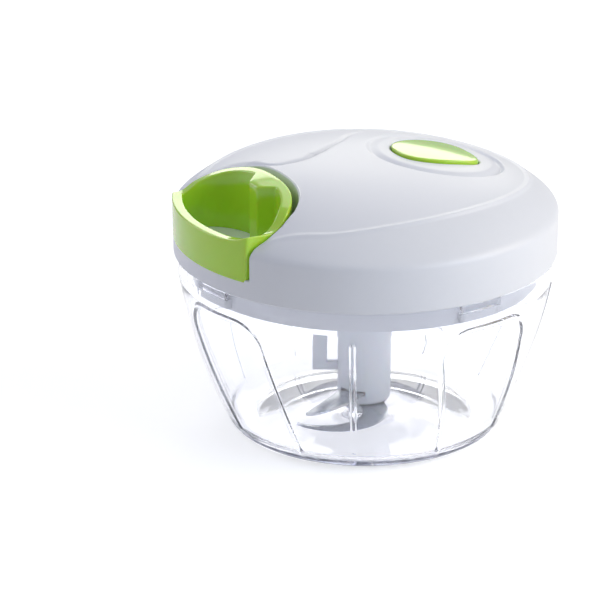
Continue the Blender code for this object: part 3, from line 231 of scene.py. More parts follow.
def metal(name, look):
    # A metal with fine grinding lines: noise drawn long in one direction.
    made = bpy.data.materials.new(name)
    made.use_nodes = True
    tree = made.node_tree
    shader = tree.nodes["Principled BSDF"]
    shader.inputs["Metallic"].default_value = 1.0
    place = addNode(tree, "ShaderNodeTexCoord").outputs["Object"]
    stretched = {"Rotation": (0, 0, look["turn"]), "Scale": (1, look["stretch"], 1)}
    along = addNode(tree, "ShaderNodeMapping", stretched, {"Vector": place})
    lines = addNode(tree, "ShaderNodeTexNoise", {"Scale": 1000 / look["lineSize"], "Detail": 4.0},
                    {"Vector": along.outputs[0]}).outputs["Fac"]
    tree.links.new(mixedColour(tree, look, lines), shader.inputs["Base Color"])
    tree.links.new(unevenGloss(tree, look, lines), shader.inputs["Roughness"])
    bump = addNode(tree, "ShaderNodeBump", {"Strength": look["scratch"], "Distance": surface["lineHeight"]},
                   {"Height": lines})
    tree.links.new(bump.outputs[0], shader.inputs["Normal"])
    return made


# Moulded ABS with a satin skin: bright white with a cool cast, soft wide reflections.
whiteAbs = plastic("mouldedWhiteAbs", {
    "low": "#ECEDF3", "high": "#EEEFF5", "ior": 1.53, "gloss": (0.36, 0.39),
    "mottleSize": 3.0, "peelSize": 1.2, "peel": 0.015})
# The inner plate: the same white ABS painted greyer, as painted shade for its place under the lid, where it is
# seen through the bowl's band.
plateAbsPaintedShade = plastic("mouldedWhiteAbsPaintedShade", {
    "low": "#D4D7E1", "high": "#DADDE6", "ior": 1.53, "gloss": (0.38, 0.44),
    "mottleSize": 3.0, "peelSize": 1.2, "peel": 0.02})
# The same ABS coloured in the mass, leaf green, with the polished skin that the mould leaves.
greenAbs = plastic("mouldedGreenAbs", {
    "low": "#B9E53A", "high": "#BCE83C", "ior": 1.50, "gloss": (0.12, 0.14),
    "mottleSize": 3.0, "peelSize": 1.2, "peel": 0.015, "skin": 0.4, "milky": 0.45})
# Clear SAN, like glass; its index is taken below the real 1.57, which keeps edges and beads pale.
clearSan = plastic("mouldedClearSan", {
    "low": "#F9FAFD", "high": "#FCFCFE", "ior": 1.45, "gloss": (0.02, 0.05),
    "mottleSize": 14.0, "peelSize": 9.0, "peel": 0.02, "clear": 0.97, "veil": ("#C9CDE2", 16)})
# Milky polypropylene of the post and paddle: light sinks in a little and blurs their edges.
milkyPp = plastic("mouldedMilkyPolypropylene", {
    "low": "#D8DCE5", "high": "#DFE3EB", "ior": 1.49, "gloss": (0.34, 0.42),
    "mottleSize": 5.0, "peelSize": 0.9, "peel": 0.06, "milky": 0.12})
# Grey acetal: waxy and half matt, for pieces that slide.
greyAcetal = plastic("mouldedGreyAcetal", {
    "low": "#8D9298", "high": "#989DA3", "ior": 1.48, "gloss": (0.40, 0.50),
    "mottleSize": 4.0, "peelSize": 0.6, "peel": 0.08})
# Silicone of the seal: matt and slightly see-through.
silicone = plastic("castSilicone", {
    "low": "#DADDE0", "high": "#E4E6E8", "ior": 1.41, "gloss": (0.55, 0.65),
    "mottleSize": 3.0, "peelSize": 0.5, "peel": 0.10, "milky": 0.15})
# Black rubber of the brake pad: matt and grainy.
rubber = plastic("mouldedNitrileRubber", {
    "low": "#1D1D1E", "high": "#262627", "ior": 1.52, "gloss": (0.70, 0.85),
    "mottleSize": 1.5, "peelSize": 0.3, "peel": 0.25})
# Braided nylon: off-white, with the dull look of many fine fibres.
nylonCord = plastic("braidedNylonCord", {
    "low": "#D4D5D0", "high": "#ECECE8", "ior": 1.53, "gloss": (0.75, 0.90),
    "mottleSize": 0.6, "peelSize": 0.35, "peel": 0.60})
# Ground stainless steel: cool grey with fine lines across the blade.
groundSteel = metal("groundStainlessSteel", {
    "low": "#A8ABB2", "high": "#BFC2C9", "gloss": (0.20, 0.34),
    "lineSize": 1.6, "stretch": 18.0, "turn": 0.5, "scratch": 0.20})
# Spring steel: darker, with a faint blue from its heat treatment.
springSteel = metal("blueGreySpringSteel", {
    "low": "#8E9298", "high": "#A7ABB0", "gloss": (0.28, 0.40),
    "lineSize": 1.2, "stretch": 6.0, "turn": 0.0, "scratch": 0.15})

finishes = {
    plateAbsPaintedShade: ["lid_base"],
    whiteAbs: ["lid_shell", "cord_spool", "spring_cover", "brake_plunger", "button_bridge"],
    greenAbs: ["pull_handle", "brake_button"],
    clearSan: ["bowl"],
    milkyPp: ["blade_post", "mixing_paddle"],
    greyAcetal: ["drive_hub", "bearing_bush"],
    silicone: ["lid_seal"],
    rubber: ["brake_pad"],
    nylonCord: ["wound_cord", "cord_lead", "pull_cord", "cord_knot"],
    groundSteel: ["blade_lower", "blade_middle", "blade_upper", "pivot_pin", "spool_axle", "axle_clip",
                  "cord_eyelet", "base_screw_1", "base_screw_2", "base_screw_3", "base_screw_4",
                  "pawl_1", "pawl_2"],
    springSteel: ["recoil_spring", "brake_spring"],
}
for material, names in finishes.items():
    for name in names:
        slots = nodes[name].material_slots
        for slot in slots:
            slot.material = material
        if not slots:
            nodes[name].data.materials.append(material)
print("materials set")


# Making meshes

def smoothLower(first, second, width):
    # The lower of two heights, rounded where they come closer than the width.
    share = np.clip(0.5 + 0.5 * (second - first) / width, 0, 1)
    return second * (1 - share) + first * share - width * share * (1 - share)


def smoothStep(share):
    # 0 below 0, 1 above 1, and 3s^2 - 2s^3 between them.
    share = np.clip(share, 0, 1)
    return share * share * (3 - 2 * share)


def gridFaces(rows, columns, start, closed, flip):
    # Four-sided faces of a grid of points that are numbered row by row.
    across = columns if closed else columns - 1
    i, j = np.meshgrid(np.arange(rows - 1), np.arange(across), indexing="ij")
    k = (j + 1) % columns
    corners = [i * columns + j, i * columns + k, (i + 1) * columns + k, (i + 1) * columns + j]
    faces = np.stack(corners[::-1] if flip else corners, -1).reshape(-1, 4) + start
    return faces.tolist()


def makePiece(name, grids, material, polygons=(), sharp=35.0, bevel=None, merge=0.00001):
    # grids: (points as rows x columns x 3, closed round the columns, flip the faces). The grids and the
    # polygons become one mesh; points closer than the merge distance are merged, so borders and poles
    # close. bevel: width, segments and the angle in degrees from which edges are rounded.
    points, faces, count = [], [], 0
    for grid, closed, flip in grids:
        rows, columns = grid.shape[:2]
        points.append(grid.reshape(-1, 3))
        faces += gridFaces(rows, columns, count, closed, flip)
        count += rows * columns
    for polygon in polygons:
        points.append(np.asarray(polygon))
        faces.append(list(range(count, count + len(polygon))))
        count += len(polygon)
    mesh = bpy.data.meshes.new(name)
    mesh.from_pydata(np.concatenate(points).tolist(), [], faces)
    shape = bmesh.new()
    shape.from_mesh(mesh)
    bmesh.ops.remove_doubles(shape, verts=shape.verts, dist=merge)
    bmesh.ops.dissolve_degenerate(shape, edges=shape.edges, dist=0.000001)
    shape.to_mesh(mesh)
    shape.free()
    mesh.materials.append(material)
    mesh.shade_smooth()
    mesh.set_sharp_from_angle(angle=math.radians(sharp))
    item = bpy.data.objects.new(name, mesh)
    scene.collection.objects.link(item)
    if bevel:
        width, segments, angle = bevel
        rounding = item.modifiers.new("edgeRounding", "BEVEL")
        rounding.width = width
        rounding.segments = segments
        rounding.limit_method = "ANGLE"
        rounding.angle_limit = math.radians(angle)
        rounding.use_clamp_overlap = False
    print(name, len(mesh.polygons), "faces")
    return item


# White lid shell: a crown inside an oval crest, a band from the crest down to the shoulder, a swept line
# behind which the crown lies lower, and a shallow valley round the button. Lengths are in metres, and the
# handle lies on the side of -X.

lidLook = {
    "radius": 0.0663, "bottom": 0.0643, "shoulder": 0.0800, "top": 0.0962,
    "crestLong": 0.0620, "crestWide": 0.0510, "crestShift": 0.0040, "crestLimit": 0.0646,
    "crestFlare": ((24, 6, 0.0045), (40, 9, -0.0012)),      # degrees from the handle's middle, width, amount
    "crestScale": 0.0165, "crestPower": 3.6, "crestSoft": 0.00014,
    "crownPower": 2.4, "crownPowerHandle": 0.8, "bandBulge": 0.0006,
    "shoulderRound": 0.0016, "wall": 0.0022,
    "lip": 0.00058, "lipWidth": 0.0018, "lipFall": 0.0008, "lipPower": 1.15,
    # the panel behind the swept line: two values are at the handle and at the far end
    "panelDrop": (0.0023, 0.0011), "panelRise": (0.0042, 0.0027), "panelFrom": -0.03, "panelOver": 0.05,
    "panelStep": 0.0022, "panelLevel": 0.28, "panelFade": 3.6,
    "panelX": (-0.0620, -0.0520, -0.0440, -0.0400, -0.0358, -0.0331, -0.0298, -0.0231,
               -0.0168, -0.0066, 0.0042, 0.0119, 0.0200, 0.0275, 0.0420),
    "panelY": (0.0308, 0.0305, 0.0283, 0.0257, 0.0209, 0.0147, 0.0082, 0.0071,
               0.0080, 0.0151, 0.0233, 0.0322, 0.0365, 0.0432, 0.0580),
    "valleyCentre": 0.0270, "valleyLong": 0.0236, "valleyWide": 0.0266, "valleyDrop": 0.0019,
    "valleyStep": 0.0020, "valleyLevel": 0.20, "valleyRise": 0.0042, "valleyFar": 0.35, "valleyTilt": 1.4,
    # the mesh: rows from the hole to the valley's edge, from there to the crest, and on to the rim, some of
    # them close to the lip; then how the columns bend to the recess (radians) and how the rim turns in
    "frontColumns": 480, "recessColumns": 56, "rows": (34, 76, 42), "lipRows": 18,
    "valleyEdge": 1.06, "beforeCrest": 0.0016, "afterCrest": 0.0030, "bend": 0.7, "turn": 0.35,
    "shoulderRows": 5, "inward": 0.004, "edges": (0.00045, 3, 56),
}
recessLook = {
    "back": -0.0315, "halfWidth": 0.0308, "root": -0.0585, "power": 2.6, "floor": 0.0710, "wallRows": 5,
    "run": 0.012, "samples": 4001,       # length of the straight sides beyond the arch, points along the arch
}
buttonLook = {"centre": 0.0258, "halfLength": 0.0137, "halfWidth": 0.0134, "power": 2.3, "play": 0.0004,
              "corner": (314, 24, 0.15), "flat": (238, 28, -0.06),      # direction, width in degrees, share
              "proud": 0.0007, "thick": 0.0021, "round": 0.0005, "rings": 16, "columns": 160}


def crestRadius(angle):
    # Distance from the axis to the crest: where a ray meets an ellipse shifted to the handle, plus a bell
    # that flares it to the handle's corners and one that draws it in beside them, within a circle.
    along, across = np.cos(angle), np.sin(angle)
    a = (along / lidLook["crestLong"]) ** 2 + (across / lidLook["crestWide"]) ** 2
    b = 2 * lidLook["crestShift"] * along / lidLook["crestLong"] ** 2
    c = (lidLook["crestShift"] / lidLook["crestLong"]) ** 2 - 1
    crest = (np.sqrt(b * b - 4 * a * c) - b) / (2 * a)
    fromHandle = np.degrees(np.arccos(np.clip(-along, -1, 1)))
    for place, width, amount in lidLook["crestFlare"]:
        crest = crest + amount * np.exp(-((fromHandle - place) / width) ** 2)
    return np.minimum(crest, lidLook["crestLimit"])


def domeHeight(x, y, lift=0.0, lipShare=1.0):
    # The lower one of two surfaces: the crown, crest + rise * (1 - u^n) with u the share of the way to the
    # crest, and the band, a line from the crest to the shoulder with a small parabola added. A lip
    # climbs to the crest and levels the crown there, and falls away beyond it.
    angle, distance = np.arctan2(y, x), np.hypot(x, y)
    crest = crestRadius(angle)
    radius, shoulder = lidLook["radius"], lidLook["shoulder"] + lift
    crestZ = shoulder + (lidLook["crestScale"] - lift) * (1 - (crest / radius) ** lidLook["crestPower"])
    power = lidLook["crownPower"] + lidLook["crownPowerHandle"] * np.maximum(-np.cos(angle), 0) ** 2
    crown = crestZ + (lidLook["top"] - crestZ) * (1 - (distance / crest) ** power)
    share = (distance - crest) / (radius - crest)
    inside = np.clip(share, 0, 1)
    band = crestZ + (shoulder - crestZ) * share + 4 * lidLook["bandBulge"] * inside * (1 - inside)
    past = distance - crest
    climb = np.clip(1 + past / lidLook["lipWidth"], 0, 1) ** lidLook["lipPower"]
    lip = np.where(past < 0, climb, np.exp(-(past / lidLook["lipFall"]) ** 2))
    return smoothLower(crown, band, lidLook["crestSoft"]) + lidLook["lip"] * lip * lipShare


def dish(away, step, rise, level):
    # A smooth step down over the first millimetre or so, and then a slow rise to a share of its depth.
    return smoothStep(away / step) * (1 - (1 - level) * smoothStep((away - step / 2) / rise))


def panelDrop(x, y):
    # Depth of the panel behind the swept line: a dish along the line, fading out at the crest.
    fine = np.linspace(lidLook["panelX"][0], lidLook["panelX"][-1], 400)
    line = np.interp(fine, lidLook["panelX"], lidLook["panelY"])
    kernel = np.hanning(41) / np.hanning(41).sum()
    line = np.convolve(np.pad(line, 20, mode="reflect", reflect_type="odd"), kernel, mode="valid")
    slope = np.gradient(line, fine)
    away = (y - np.interp(x, fine, line)) / np.sqrt(1 + np.interp(x, fine, slope) ** 2)
    onward = np.clip((x - lidLook["panelFrom"]) / lidLook["panelOver"], 0, 1)
    rise, depth = ((1 - onward) * near + onward * far
                   for near, far in (lidLook["panelRise"], lidLook["panelDrop"]))
    share = np.hypot(x, y) / crestRadius(np.arctan2(y, x))
    fade = np.clip(1 - share ** lidLook["panelFade"], 0, 1)
    return depth * fade * dish(away, lidLook["panelStep"], rise, lidLook["panelLevel"])


def valleyDrop(x, y):
    # Depth of the valley: a dish that starts at an ellipse round the button and is shallower at its far side.
    along = (x - lidLook["valleyCentre"]) / lidLook["valleyLong"]
    across = y / lidLook["valleyWide"]
    away = (1 - np.hypot(along, across)) * (lidLook["valleyLong"] + lidLook["valleyWide"]) / 2
    far = lidLook["valleyFar"]
    tilt = np.clip(lidLook["valleyTilt"] * across, -1, 1)
    depth = lidLook["valleyDrop"] * ((1 + far) / 2 - (1 - far) / 2 * tilt)
    return depth * dish(away, lidLook["valleyStep"], lidLook["valleyRise"], lidLook["valleyLevel"])


def lidHeight(x, y):
    return domeHeight(x, y) - panelDrop(x, y) - valleyDrop(x, y)


def archPoints(back, halfWidth, root, count):
    # Half a superellipse, open to the outside of the lid, from +Y round to -Y.
    turn = np.linspace(math.pi / 2, -math.pi / 2, count)
    share = 2 / recessLook["power"]
    x = root + (back - root) * np.abs(np.cos(turn)) ** share
    y = np.sign(np.sin(turn)) * halfWidth * np.abs(np.sin(turn)) ** share
    return x, y


def buttonOutline(turn, play=0.0):
    # A superellipse, drawn out at one corner and flattened beside it by bells over the direction.
    share = 2 / buttonLook["power"]
    x = (buttonLook["halfLength"] + play) * np.sign(np.cos(turn)) * np.abs(np.cos(turn)) ** share
    y = (buttonLook["halfWidth"] + play) * np.sign(np.sin(turn)) * np.abs(np.sin(turn)) ** share
    direction = np.degrees(np.arctan2(y, x))
    scale = 1.0
    for place, width, amount in (buttonLook["corner"], buttonLook["flat"]):
        away = (direction - place + 180) % 360 - 180
        scale = scale + amount * np.exp(-(away / width) ** 2)
    return x * scale, y * scale


def makeLidShell():
    # Columns run out from the button's hole to the rim. In front they are rays, bent near the handle so
    # that the first and the last follow the sides of the recess; the others end at the recess's back.
    centre = buttonLook["centre"]
    radius = lidLook["radius"]
    turn = np.linspace(-math.pi, math.pi, 1441)

    def fromHole(x, y):
        # outline as distance over direction, seen from the button's middle; 0 looks at the handle
        angle = np.arctan2(-y, centre - x)
        order = np.argsort(angle)
        return angle[order], np.hypot(x - centre, y)[order]

    def reach(outline, direction):
        return np.interp(direction, *outline, period=2 * math.pi)

    holeX, holeY = buttonOutline(turn, buttonLook["play"])
    hole = fromHole(centre + holeX, holeY)
    valley = fromHole(lidLook["valleyCentre"] + lidLook["valleyEdge"] * lidLook["valleyLong"] * np.cos(turn),
                      lidLook["valleyEdge"] * lidLook["valleyWide"] * np.sin(turn))
    crest = fromHole(crestRadius(turn) * np.cos(turn), crestRadius(turn) * np.sin(turn))

    samples = recessLook["samples"]
    archX, archY = archPoints(recessLook["back"], recessLook["halfWidth"], recessLook["root"], samples)
    archAngle, archReach = np.arctan2(-archY, centre - archX), np.hypot(archX - centre, archY)
    last = int(np.argmax(archAngle))                    # where a ray touches the side of the recess
    side = archAngle[last]
    middle = slice(samples - 1 - last, last + 1)
    order = np.argsort(archAngle[middle])
    backOutline = archAngle[middle][order], archReach[middle][order]
    sideOrder = np.argsort(archReach[last:])
    sideReach, sideAngle = archReach[last:][sideOrder], archAngle[last:][sideOrder]
    straight = np.linspace(sideReach[-1], sideReach[-1] + recessLook["run"], 60)[1:]
    sideReach = np.concatenate([sideReach, straight])
    sideAngle = np.concatenate([sideAngle, np.arcsin(recessLook["halfWidth"] / straight)])

    front = np.linspace(side, 2 * math.pi - side, lidLook["frontColumns"])

    def bent(distance):
        # direction of each front column at a distance from the button's middle
        shift = side - np.interp(distance, sideReach, sideAngle)
        first = np.clip((front - side) / lidLook["bend"], 0, 1)
        final = np.clip((2 * math.pi - side - front) / lidLook["bend"], 0, 1)
        return front + shift * ((1 - final) ** 2 * (1 + 2 * final) - (1 - first) ** 2 * (1 + 2 * first))

    def plan(distance, direction):
        return centre - distance * np.cos(direction), -distance * np.sin(direction)

    def outTo(target):
        # how far along the front columns the target radius is reached: each round takes 0.8 of the
        # error off, so that thirty leave none
        distance = np.full(front.shape, 0.08)
        for _ in range(30):
            x, y = plan(distance, bent(distance))
            distance = distance + (target - np.hypot(x, y)) * 0.8
        return distance

    holeRows, crownRows, bandRows = lidLook["rows"]
    touch = sideReach[0]
    close = np.clip(1 - np.minimum(front - side, 2 * math.pi - side - front) / lidLook["turn"], 0, 1)
    inner, edge = reach(hole, front), reach(valley, front)
    ridge = reach(crest, front)
    before = lidLook["beforeCrest"]
    turnOver = ridge - before - (ridge[0] - before - touch) * smoothStep(close)
    turnOver[0] = turnOver[-1] = touch
    rim = outTo(radius - lidLook["shoulderRound"])

    def stretch(starts, ends, count, skip):
        return starts + (ends - starts) * (np.arange(skip, count + 1) / count)[:, None]

    # the rows lie close together on both sides of the crest, where the lip is
    lipRows = lidLook["lipRows"]
    pastCrest = turnOver + np.minimum(lidLook["afterCrest"], 0.6 * (rim - turnOver))
    distance = np.concatenate([stretch(inner, edge, holeRows, 0), stretch(edge, turnOver, crownRows, 1),
                               stretch(turnOver, pastCrest, lipRows, 1),
                               stretch(pastCrest, rim, bandRows - lipRows, 1)])
    x, y = plan(distance, np.stack([bent(row) for row in distance]))
    frontTop = np.stack([x, y, lidHeight(x, y)], -1)

    recessAngles = np.linspace(-side, side, lidLook["recessColumns"])
    inner, edge, back = reach(hole, recessAngles), reach(valley, recessAngles), reach(backOutline, recessAngles)
    distance = np.concatenate([stretch(inner, edge, holeRows, 0), stretch(edge, back, crownRows, 1)])
    x, y = plan(distance, recessAngles)
    recessTop = np.stack([x, y, lidHeight(x, y)], -1)

    # the shoulder: a quadratic Bezier curve from the band to the wall, and then the wall and its foot
    shoulderRows = []
    start = frontTop[-1, :, 2]
    for share in np.linspace(0, 1, lidLook["shoulderRows"] + 1)[1:]:
        reached = outTo(radius - lidLook["shoulderRound"] * (1 - share) ** 2)
        x, y = plan(reached, bent(reached))
        z = ((1 - share) ** 2 * start + (2 * share * (1 - share)) * lidLook["shoulder"]
             + share ** 2 * (lidLook["shoulder"] - lidLook["shoulderRound"]))
        shoulderRows.append(np.stack([x, y, z], -1))
    foot = shoulderRows[-1]

    def wallRow(points, radiusShare, z):
        return np.stack([points[:, 0] * radiusShare, points[:, 1] * radiusShare, np.full(len(points), z)], -1)

    insideShare = 1 - lidLook["wall"] / radius
    lowRows = [(1, recessLook["floor"]), (1, lidLook["bottom"]), (insideShare, lidLook["bottom"]),
               (insideShare, lidLook["bottom"] + lidLook["inward"])]
    frontWall = np.stack(shoulderRows + [wallRow(foot, share, z) for share, z in lowRows])
    frontAll = np.concatenate([frontTop, frontWall])

    corner = math.atan2(foot[0, 1], -foot[0, 0])
    angles = np.linspace(-corner, corner, lidLook["recessColumns"])
    arcRow = np.stack([-radius * np.cos(angles), -radius * np.sin(angles)], -1)
    recessWall = np.stack([wallRow(arcRow, share, z) for share, z in lowRows])

    # the recess's upright wall, under its back and the curved part of its sides
    topRows = holeRows + crownRows
    frontSideA, frontSideB = frontTop[topRows:, 0], frontTop[topRows:, -1]
    flat = int(np.argmax(frontSideA[:, 0] < recessLook["root"]))
    path = np.concatenate([frontSideB[flat:0:-1], recessTop[-1], frontSideA[1:flat + 1]])
    down = np.linspace(0, 1, recessLook["wallRows"])[:, None]
    upright = np.stack([path] * recessLook["wallRows"])
    upright[..., 2] = path[:, 2] * (1 - down) + recessLook["floor"] * down
    cornerA, cornerB = frontAll[:, 0], frontAll[:, -1]
    floorRow = topRows + bandRows + lidLook["shoulderRows"] + 1
    cheekA = np.concatenate([upright[:, -1], cornerA[floorRow:topRows + flat:-1]])
    cheekB = np.concatenate([upright[:, 0], cornerB[floorRow:topRows + flat:-1]])
    ground = np.concatenate([upright[-1], recessWall[0]])[::-1]

    # the button's hole has a wall as deep as the shell is thick
    lipTop = np.concatenate([frontTop[0], recessTop[0][1:-1]])
    lip = np.stack([lipTop, lipTop - [0, 0, lidLook["wall"]]])
    return makePiece("lidShell", [(frontAll, False, True), (recessTop, False, True), (recessWall, False, False),
                                  (upright, False, True), (lip, True, False)],
                     whiteAbs, [cheekA, cheekB[::-1], ground], sharp=50, bevel=lidLook["edges"])


lidShell = makeLidShell()
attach(lidShell, "lid")
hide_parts("lid_shell")


# Green pull handle

handleLook = {
    "low": 0.07105, "lift": 0.0020, "back": -0.0341, "halfWidth": 0.0302, "band": 0.0036, "face": 0.0036,
    "bossRoot": 0.0080, "bossTip": 0.0031, "bossLength": 0.0050, "centre": -0.0530,
    # the flat rim: its level, its climb at the near and the far end, where it begins and is reached, and
    # how much farther out both are on the far side
    "rim": 0.0831, "rimRise": (0.0031, 0.0004), "rimFrom": (0.0470, 0.0618), "rimFarther": (0.0130, 0.0045),
    "round": 0.0006, "columns": 360, "cornerBlur": 0.0014, "footNarrower": 0.030, "footRise": 0.004,
    "proud": 0.00015, "hem": 0.0008, "hemWidth": 0.0006, "hemFrom": 0.0018, "hemOver": 0.0012,
}


def roundedRing(x, y, blur, step=0.00025):
    # A closed outline, walked in even steps and averaged over a short stretch, so that its corners round.
    x, y = np.append(x, x[0]), np.append(y, y[0])
    along = np.concatenate([[0], np.cumsum(np.hypot(np.diff(x), np.diff(y)))])
    count = int(along[-1] / step)
    even = np.linspace(0, along[-1], count, endpoint=False)
    x, y = np.interp(even, along, x), np.interp(even, along, y)
    kernel = np.hanning(2 * int(blur / step) + 1)
    kernel /= kernel.sum()
    pad = len(kernel) // 2
    return tuple(np.convolve(np.pad(values, pad, mode="wrap"), kernel, mode="valid") for values in (x, y))


def handleTop(x, y):
    # The crown's form lifted a little; towards the outside it passes into a flat rim that climbs at both
    # ends, and later on the far side than on the near one.
    side = np.clip(y / handleLook["halfWidth"], -1, 1)
    first, last = (at + more * np.maximum(side, 0) ** 2
                   for at, more in zip(handleLook["rimFrom"], handleLook["rimFarther"]))
    share = smoothStep((np.hypot(x, y) - first) / (last - first))
    near, far = handleLook["rimRise"]
    rim = handleLook["rim"] + near * np.maximum(-side, 0) ** 6 + far * np.maximum(side, 0) ** 3
    return domeHeight(x, y, handleLook["lift"], 0) * (1 - share) + rim * share


def makeHandle():
    look = handleLook
    radius = lidLook["radius"] + look["proud"]
    reach = np.arcsin(look["halfWidth"] / radius)
    wall = np.linspace(-reach, reach, 81)
    archX, archY = archPoints(look["back"], look["halfWidth"], recessLook["root"], 401)
    outer = roundedRing(np.concatenate([archX, -radius * np.cos(wall)]),
                        np.concatenate([archY, radius * np.sin(wall)]), look["cornerBlur"])

    backX = look["back"] - look["band"]
    archX, archY = archPoints(backX, look["halfWidth"] - look["band"], recessLook["root"], 801)
    face = radius - look["face"]
    kept = np.hypot(archX, archY) < face
    archX, archY = archX[kept], archY[kept]
    upper, lower = archY > look["bossRoot"], archY < -look["bossRoot"]
    tipX = backX - look["bossLength"]
    reach = math.atan2(archY[0], -archX[0])
    wall = np.linspace(-reach, reach, 81)
    inner = roundedRing(
        np.concatenate([archX[upper], [tipX, tipX], archX[lower], -face * np.cos(wall)[1:-1]]),
        np.concatenate([archY[upper], [look["bossTip"], -look["bossTip"]], archY[lower],
                        face * np.sin(wall)[1:-1]]),
        look["cornerBlur"])

    # both outlines as distance over direction, seen from a point in the opening
    angles = np.linspace(-math.pi, math.pi, look["columns"], endpoint=False)

    def seen(outline):
        x, y = outline[0] - look["centre"], outline[1]
        angle, distance = np.arctan2(y, x), np.hypot(x, y)
        order = np.argsort(angle)
        return np.interp(angles, angle[order], distance[order], period=2 * math.pi)

    outside, inside = seen(outer), seen(inner)
    edge = look["round"]

    def ring(distance, z=None, drop=0.0):
        x, y = look["centre"] + distance * np.cos(angles), distance * np.sin(angles)
        if z is None:
            return np.stack([x, y, handleTop(x, y) - drop], -1)
        # the foot is a little narrower than the top, and a thin hem under the outer wall laps over the
        # rounded edge of the recess
        narrower = look["footNarrower"] * (look["rim"] - z) / (look["rim"] - look["low"])
        hem = drop * smoothStep((np.hypot(x, y) - (radius - look["hemFrom"])) / look["hemOver"])
        distance, y = np.hypot(x, y), y * (1 - narrower)
        return np.stack([-np.sqrt(distance ** 2 - y ** 2), y, z - hem], -1)

    # up the outer wall, round the edge in a quarter circle, over the top and down the inner wall
    quarter = np.linspace(0, math.pi / 2, 5)
    hemEdge = outside - look["hemWidth"]
    above = look["low"] + look["footRise"]
    rows = [ring(hemEdge, look["low"]), ring(outside - look["proud"], look["low"], look["hem"]),
            ring(outside, look["low"], look["hem"]), ring(outside, above)]
    rows += [ring(outside - edge * (1 - math.cos(turn)), None, edge * (1 - math.sin(turn))) for turn in quarter]
    top = (outside - edge) + ((inside + edge) - (outside - edge)) * np.linspace(0, 1, 6)[1:-1, None]
    rows += [ring(distance) for distance in top]
    rows += [ring(inside + edge * (1 - math.cos(turn)), None, edge * (1 - math.sin(turn)))
             for turn in quarter[::-1]]
    rows += [ring(inside, above), ring(inside, look["low"]), ring(hemEdge, look["low"])]
    return makePiece("pullHandle", [(np.stack(rows), True, False)], greenAbs, sharp=60)


pullHandle = makeHandle()
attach(pullHandle, "handle")
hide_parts("pull_handle")


# Green brake button: a pad that follows the crown, with a rounded edge

def makeButton():
    look = buttonLook
    turn = np.linspace(0, 2 * math.pi, look["columns"], endpoint=False)
    x, y = buttonOutline(turn)
    edge = look["round"] / look["halfLength"]
    quarter = np.linspace(0, math.pi / 2, 5)[1:]
    under = look["proud"] - look["thick"]
    shares = np.concatenate([np.linspace(0, 1 - edge, look["rings"]),
                             1 - edge * (1 - np.sin(quarter)), [1, 1, 0]])
    rises = np.concatenate([np.full(look["rings"], look["proud"]),
                            look["proud"] - look["round"] * (1 - np.cos(quarter)), [0, under, under]])
    px = look["centre"] + shares[:, None] * x
    py = shares[:, None] * y
    pz = domeHeight(px, py) + rises[:, None]
    return makePiece("brakeButton", [(np.stack([px, py, pz], -1), True, True)], greenAbs, sharp=60)


brakeButton = makeButton()
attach(brakeButton, "button")
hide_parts("brake_button")


# Clear bowl: a turned wall with beads round four leaning windows and on four plain ribs between them,
# ledges for the bayonet inside its rim band, a rounded foot on a standing ring, and a boss for the pin

bowlLook = {
    "height": 0.0640, "rim": 0.0650, "bandFoot": 0.0562, "step": 0.0002, "wall": 0.0020, "taper": 0.0185,
    "belly": 0.0094, "corner": 0.0083, "cornerRise": 0.0046, "land": 0.0029, "recess": 0.0008, "floor": 0.0032,
    "boss": 0.0052, "bossTop": 0.0044, "bore": 0.0028, "seat": 0.0019,
    "bead": 0.00057, "beadHalf": 0.0012, "windows": 4, "windowAt": 193.0, "windowHalf": 16.8, "windowLean": 7.0,
    "windowTop": 0.0545, "windowFoot": 0.0062, "windowCorner": 0.0105, "ribAt": 239.0, "ribTop": 0.0520,
    "ribFoot": 0.0085, "ledgeAt": 279.5, "ledgeHalf": 7.0, "ledgeReach": 0.0019, "ledgeTop": 0.0630,
    "ledgeFoot": 0.0605, "ledgeEnd": 1.5, "beadFlat": 0.30, "round": 0.0008, "bandTop": 0.0600,
    "bandSoft": 0.0003, "bandInset": 0.0006, "bossSoft": 0.0006, "insideRows": 14,
    "leanTo": 40, "leanOver": 20,        # degrees from a window's middle where columns stand upright again
    # stretches of columns, in degrees from a window's middle, and of rows, in metres: start, end, spacing
    "columns": ((-42.2, -18.6, 1.6), (-18.6, -15.0, 0.15), (-15.0, -6.5, 0.4), (-6.5, 6.5, 1.2),
                (6.5, 15.0, 0.4), (15.0, 18.6, 0.15), (18.6, 44.2, 1.6), (44.2, 47.8, 0.15)),
    "wallRows": ((0.0557, 0.0530, 0.00016), (0.0530, 0.0522, 0.0002), (0.0522, 0.0435, 0.0004),
                 (0.0435, 0.0110, 0.0025), (0.0110, 0.0046, 0.0004)),
}


def wallRadius(z):
    # Straight taper from the band to the table with a parabola that makes it bow out.
    share = (bowlLook["bandFoot"] - z) / bowlLook["bandFoot"]
    return (bowlLook["rim"] - bowlLook["step"] - bowlLook["taper"] * share
            + bowlLook["belly"] * share * (1 - share))


def leanAt(z):
    # Degrees that a window's sides have turned at a height: none above its corners, most at its foot.
    foot, cornerZ = bowlLook["windowFoot"], bowlLook["windowTop"] - bowlLook["windowCorner"]
    return bowlLook["windowLean"] * np.clip((cornerZ - z) / (cornerZ - foot), 0, 1)


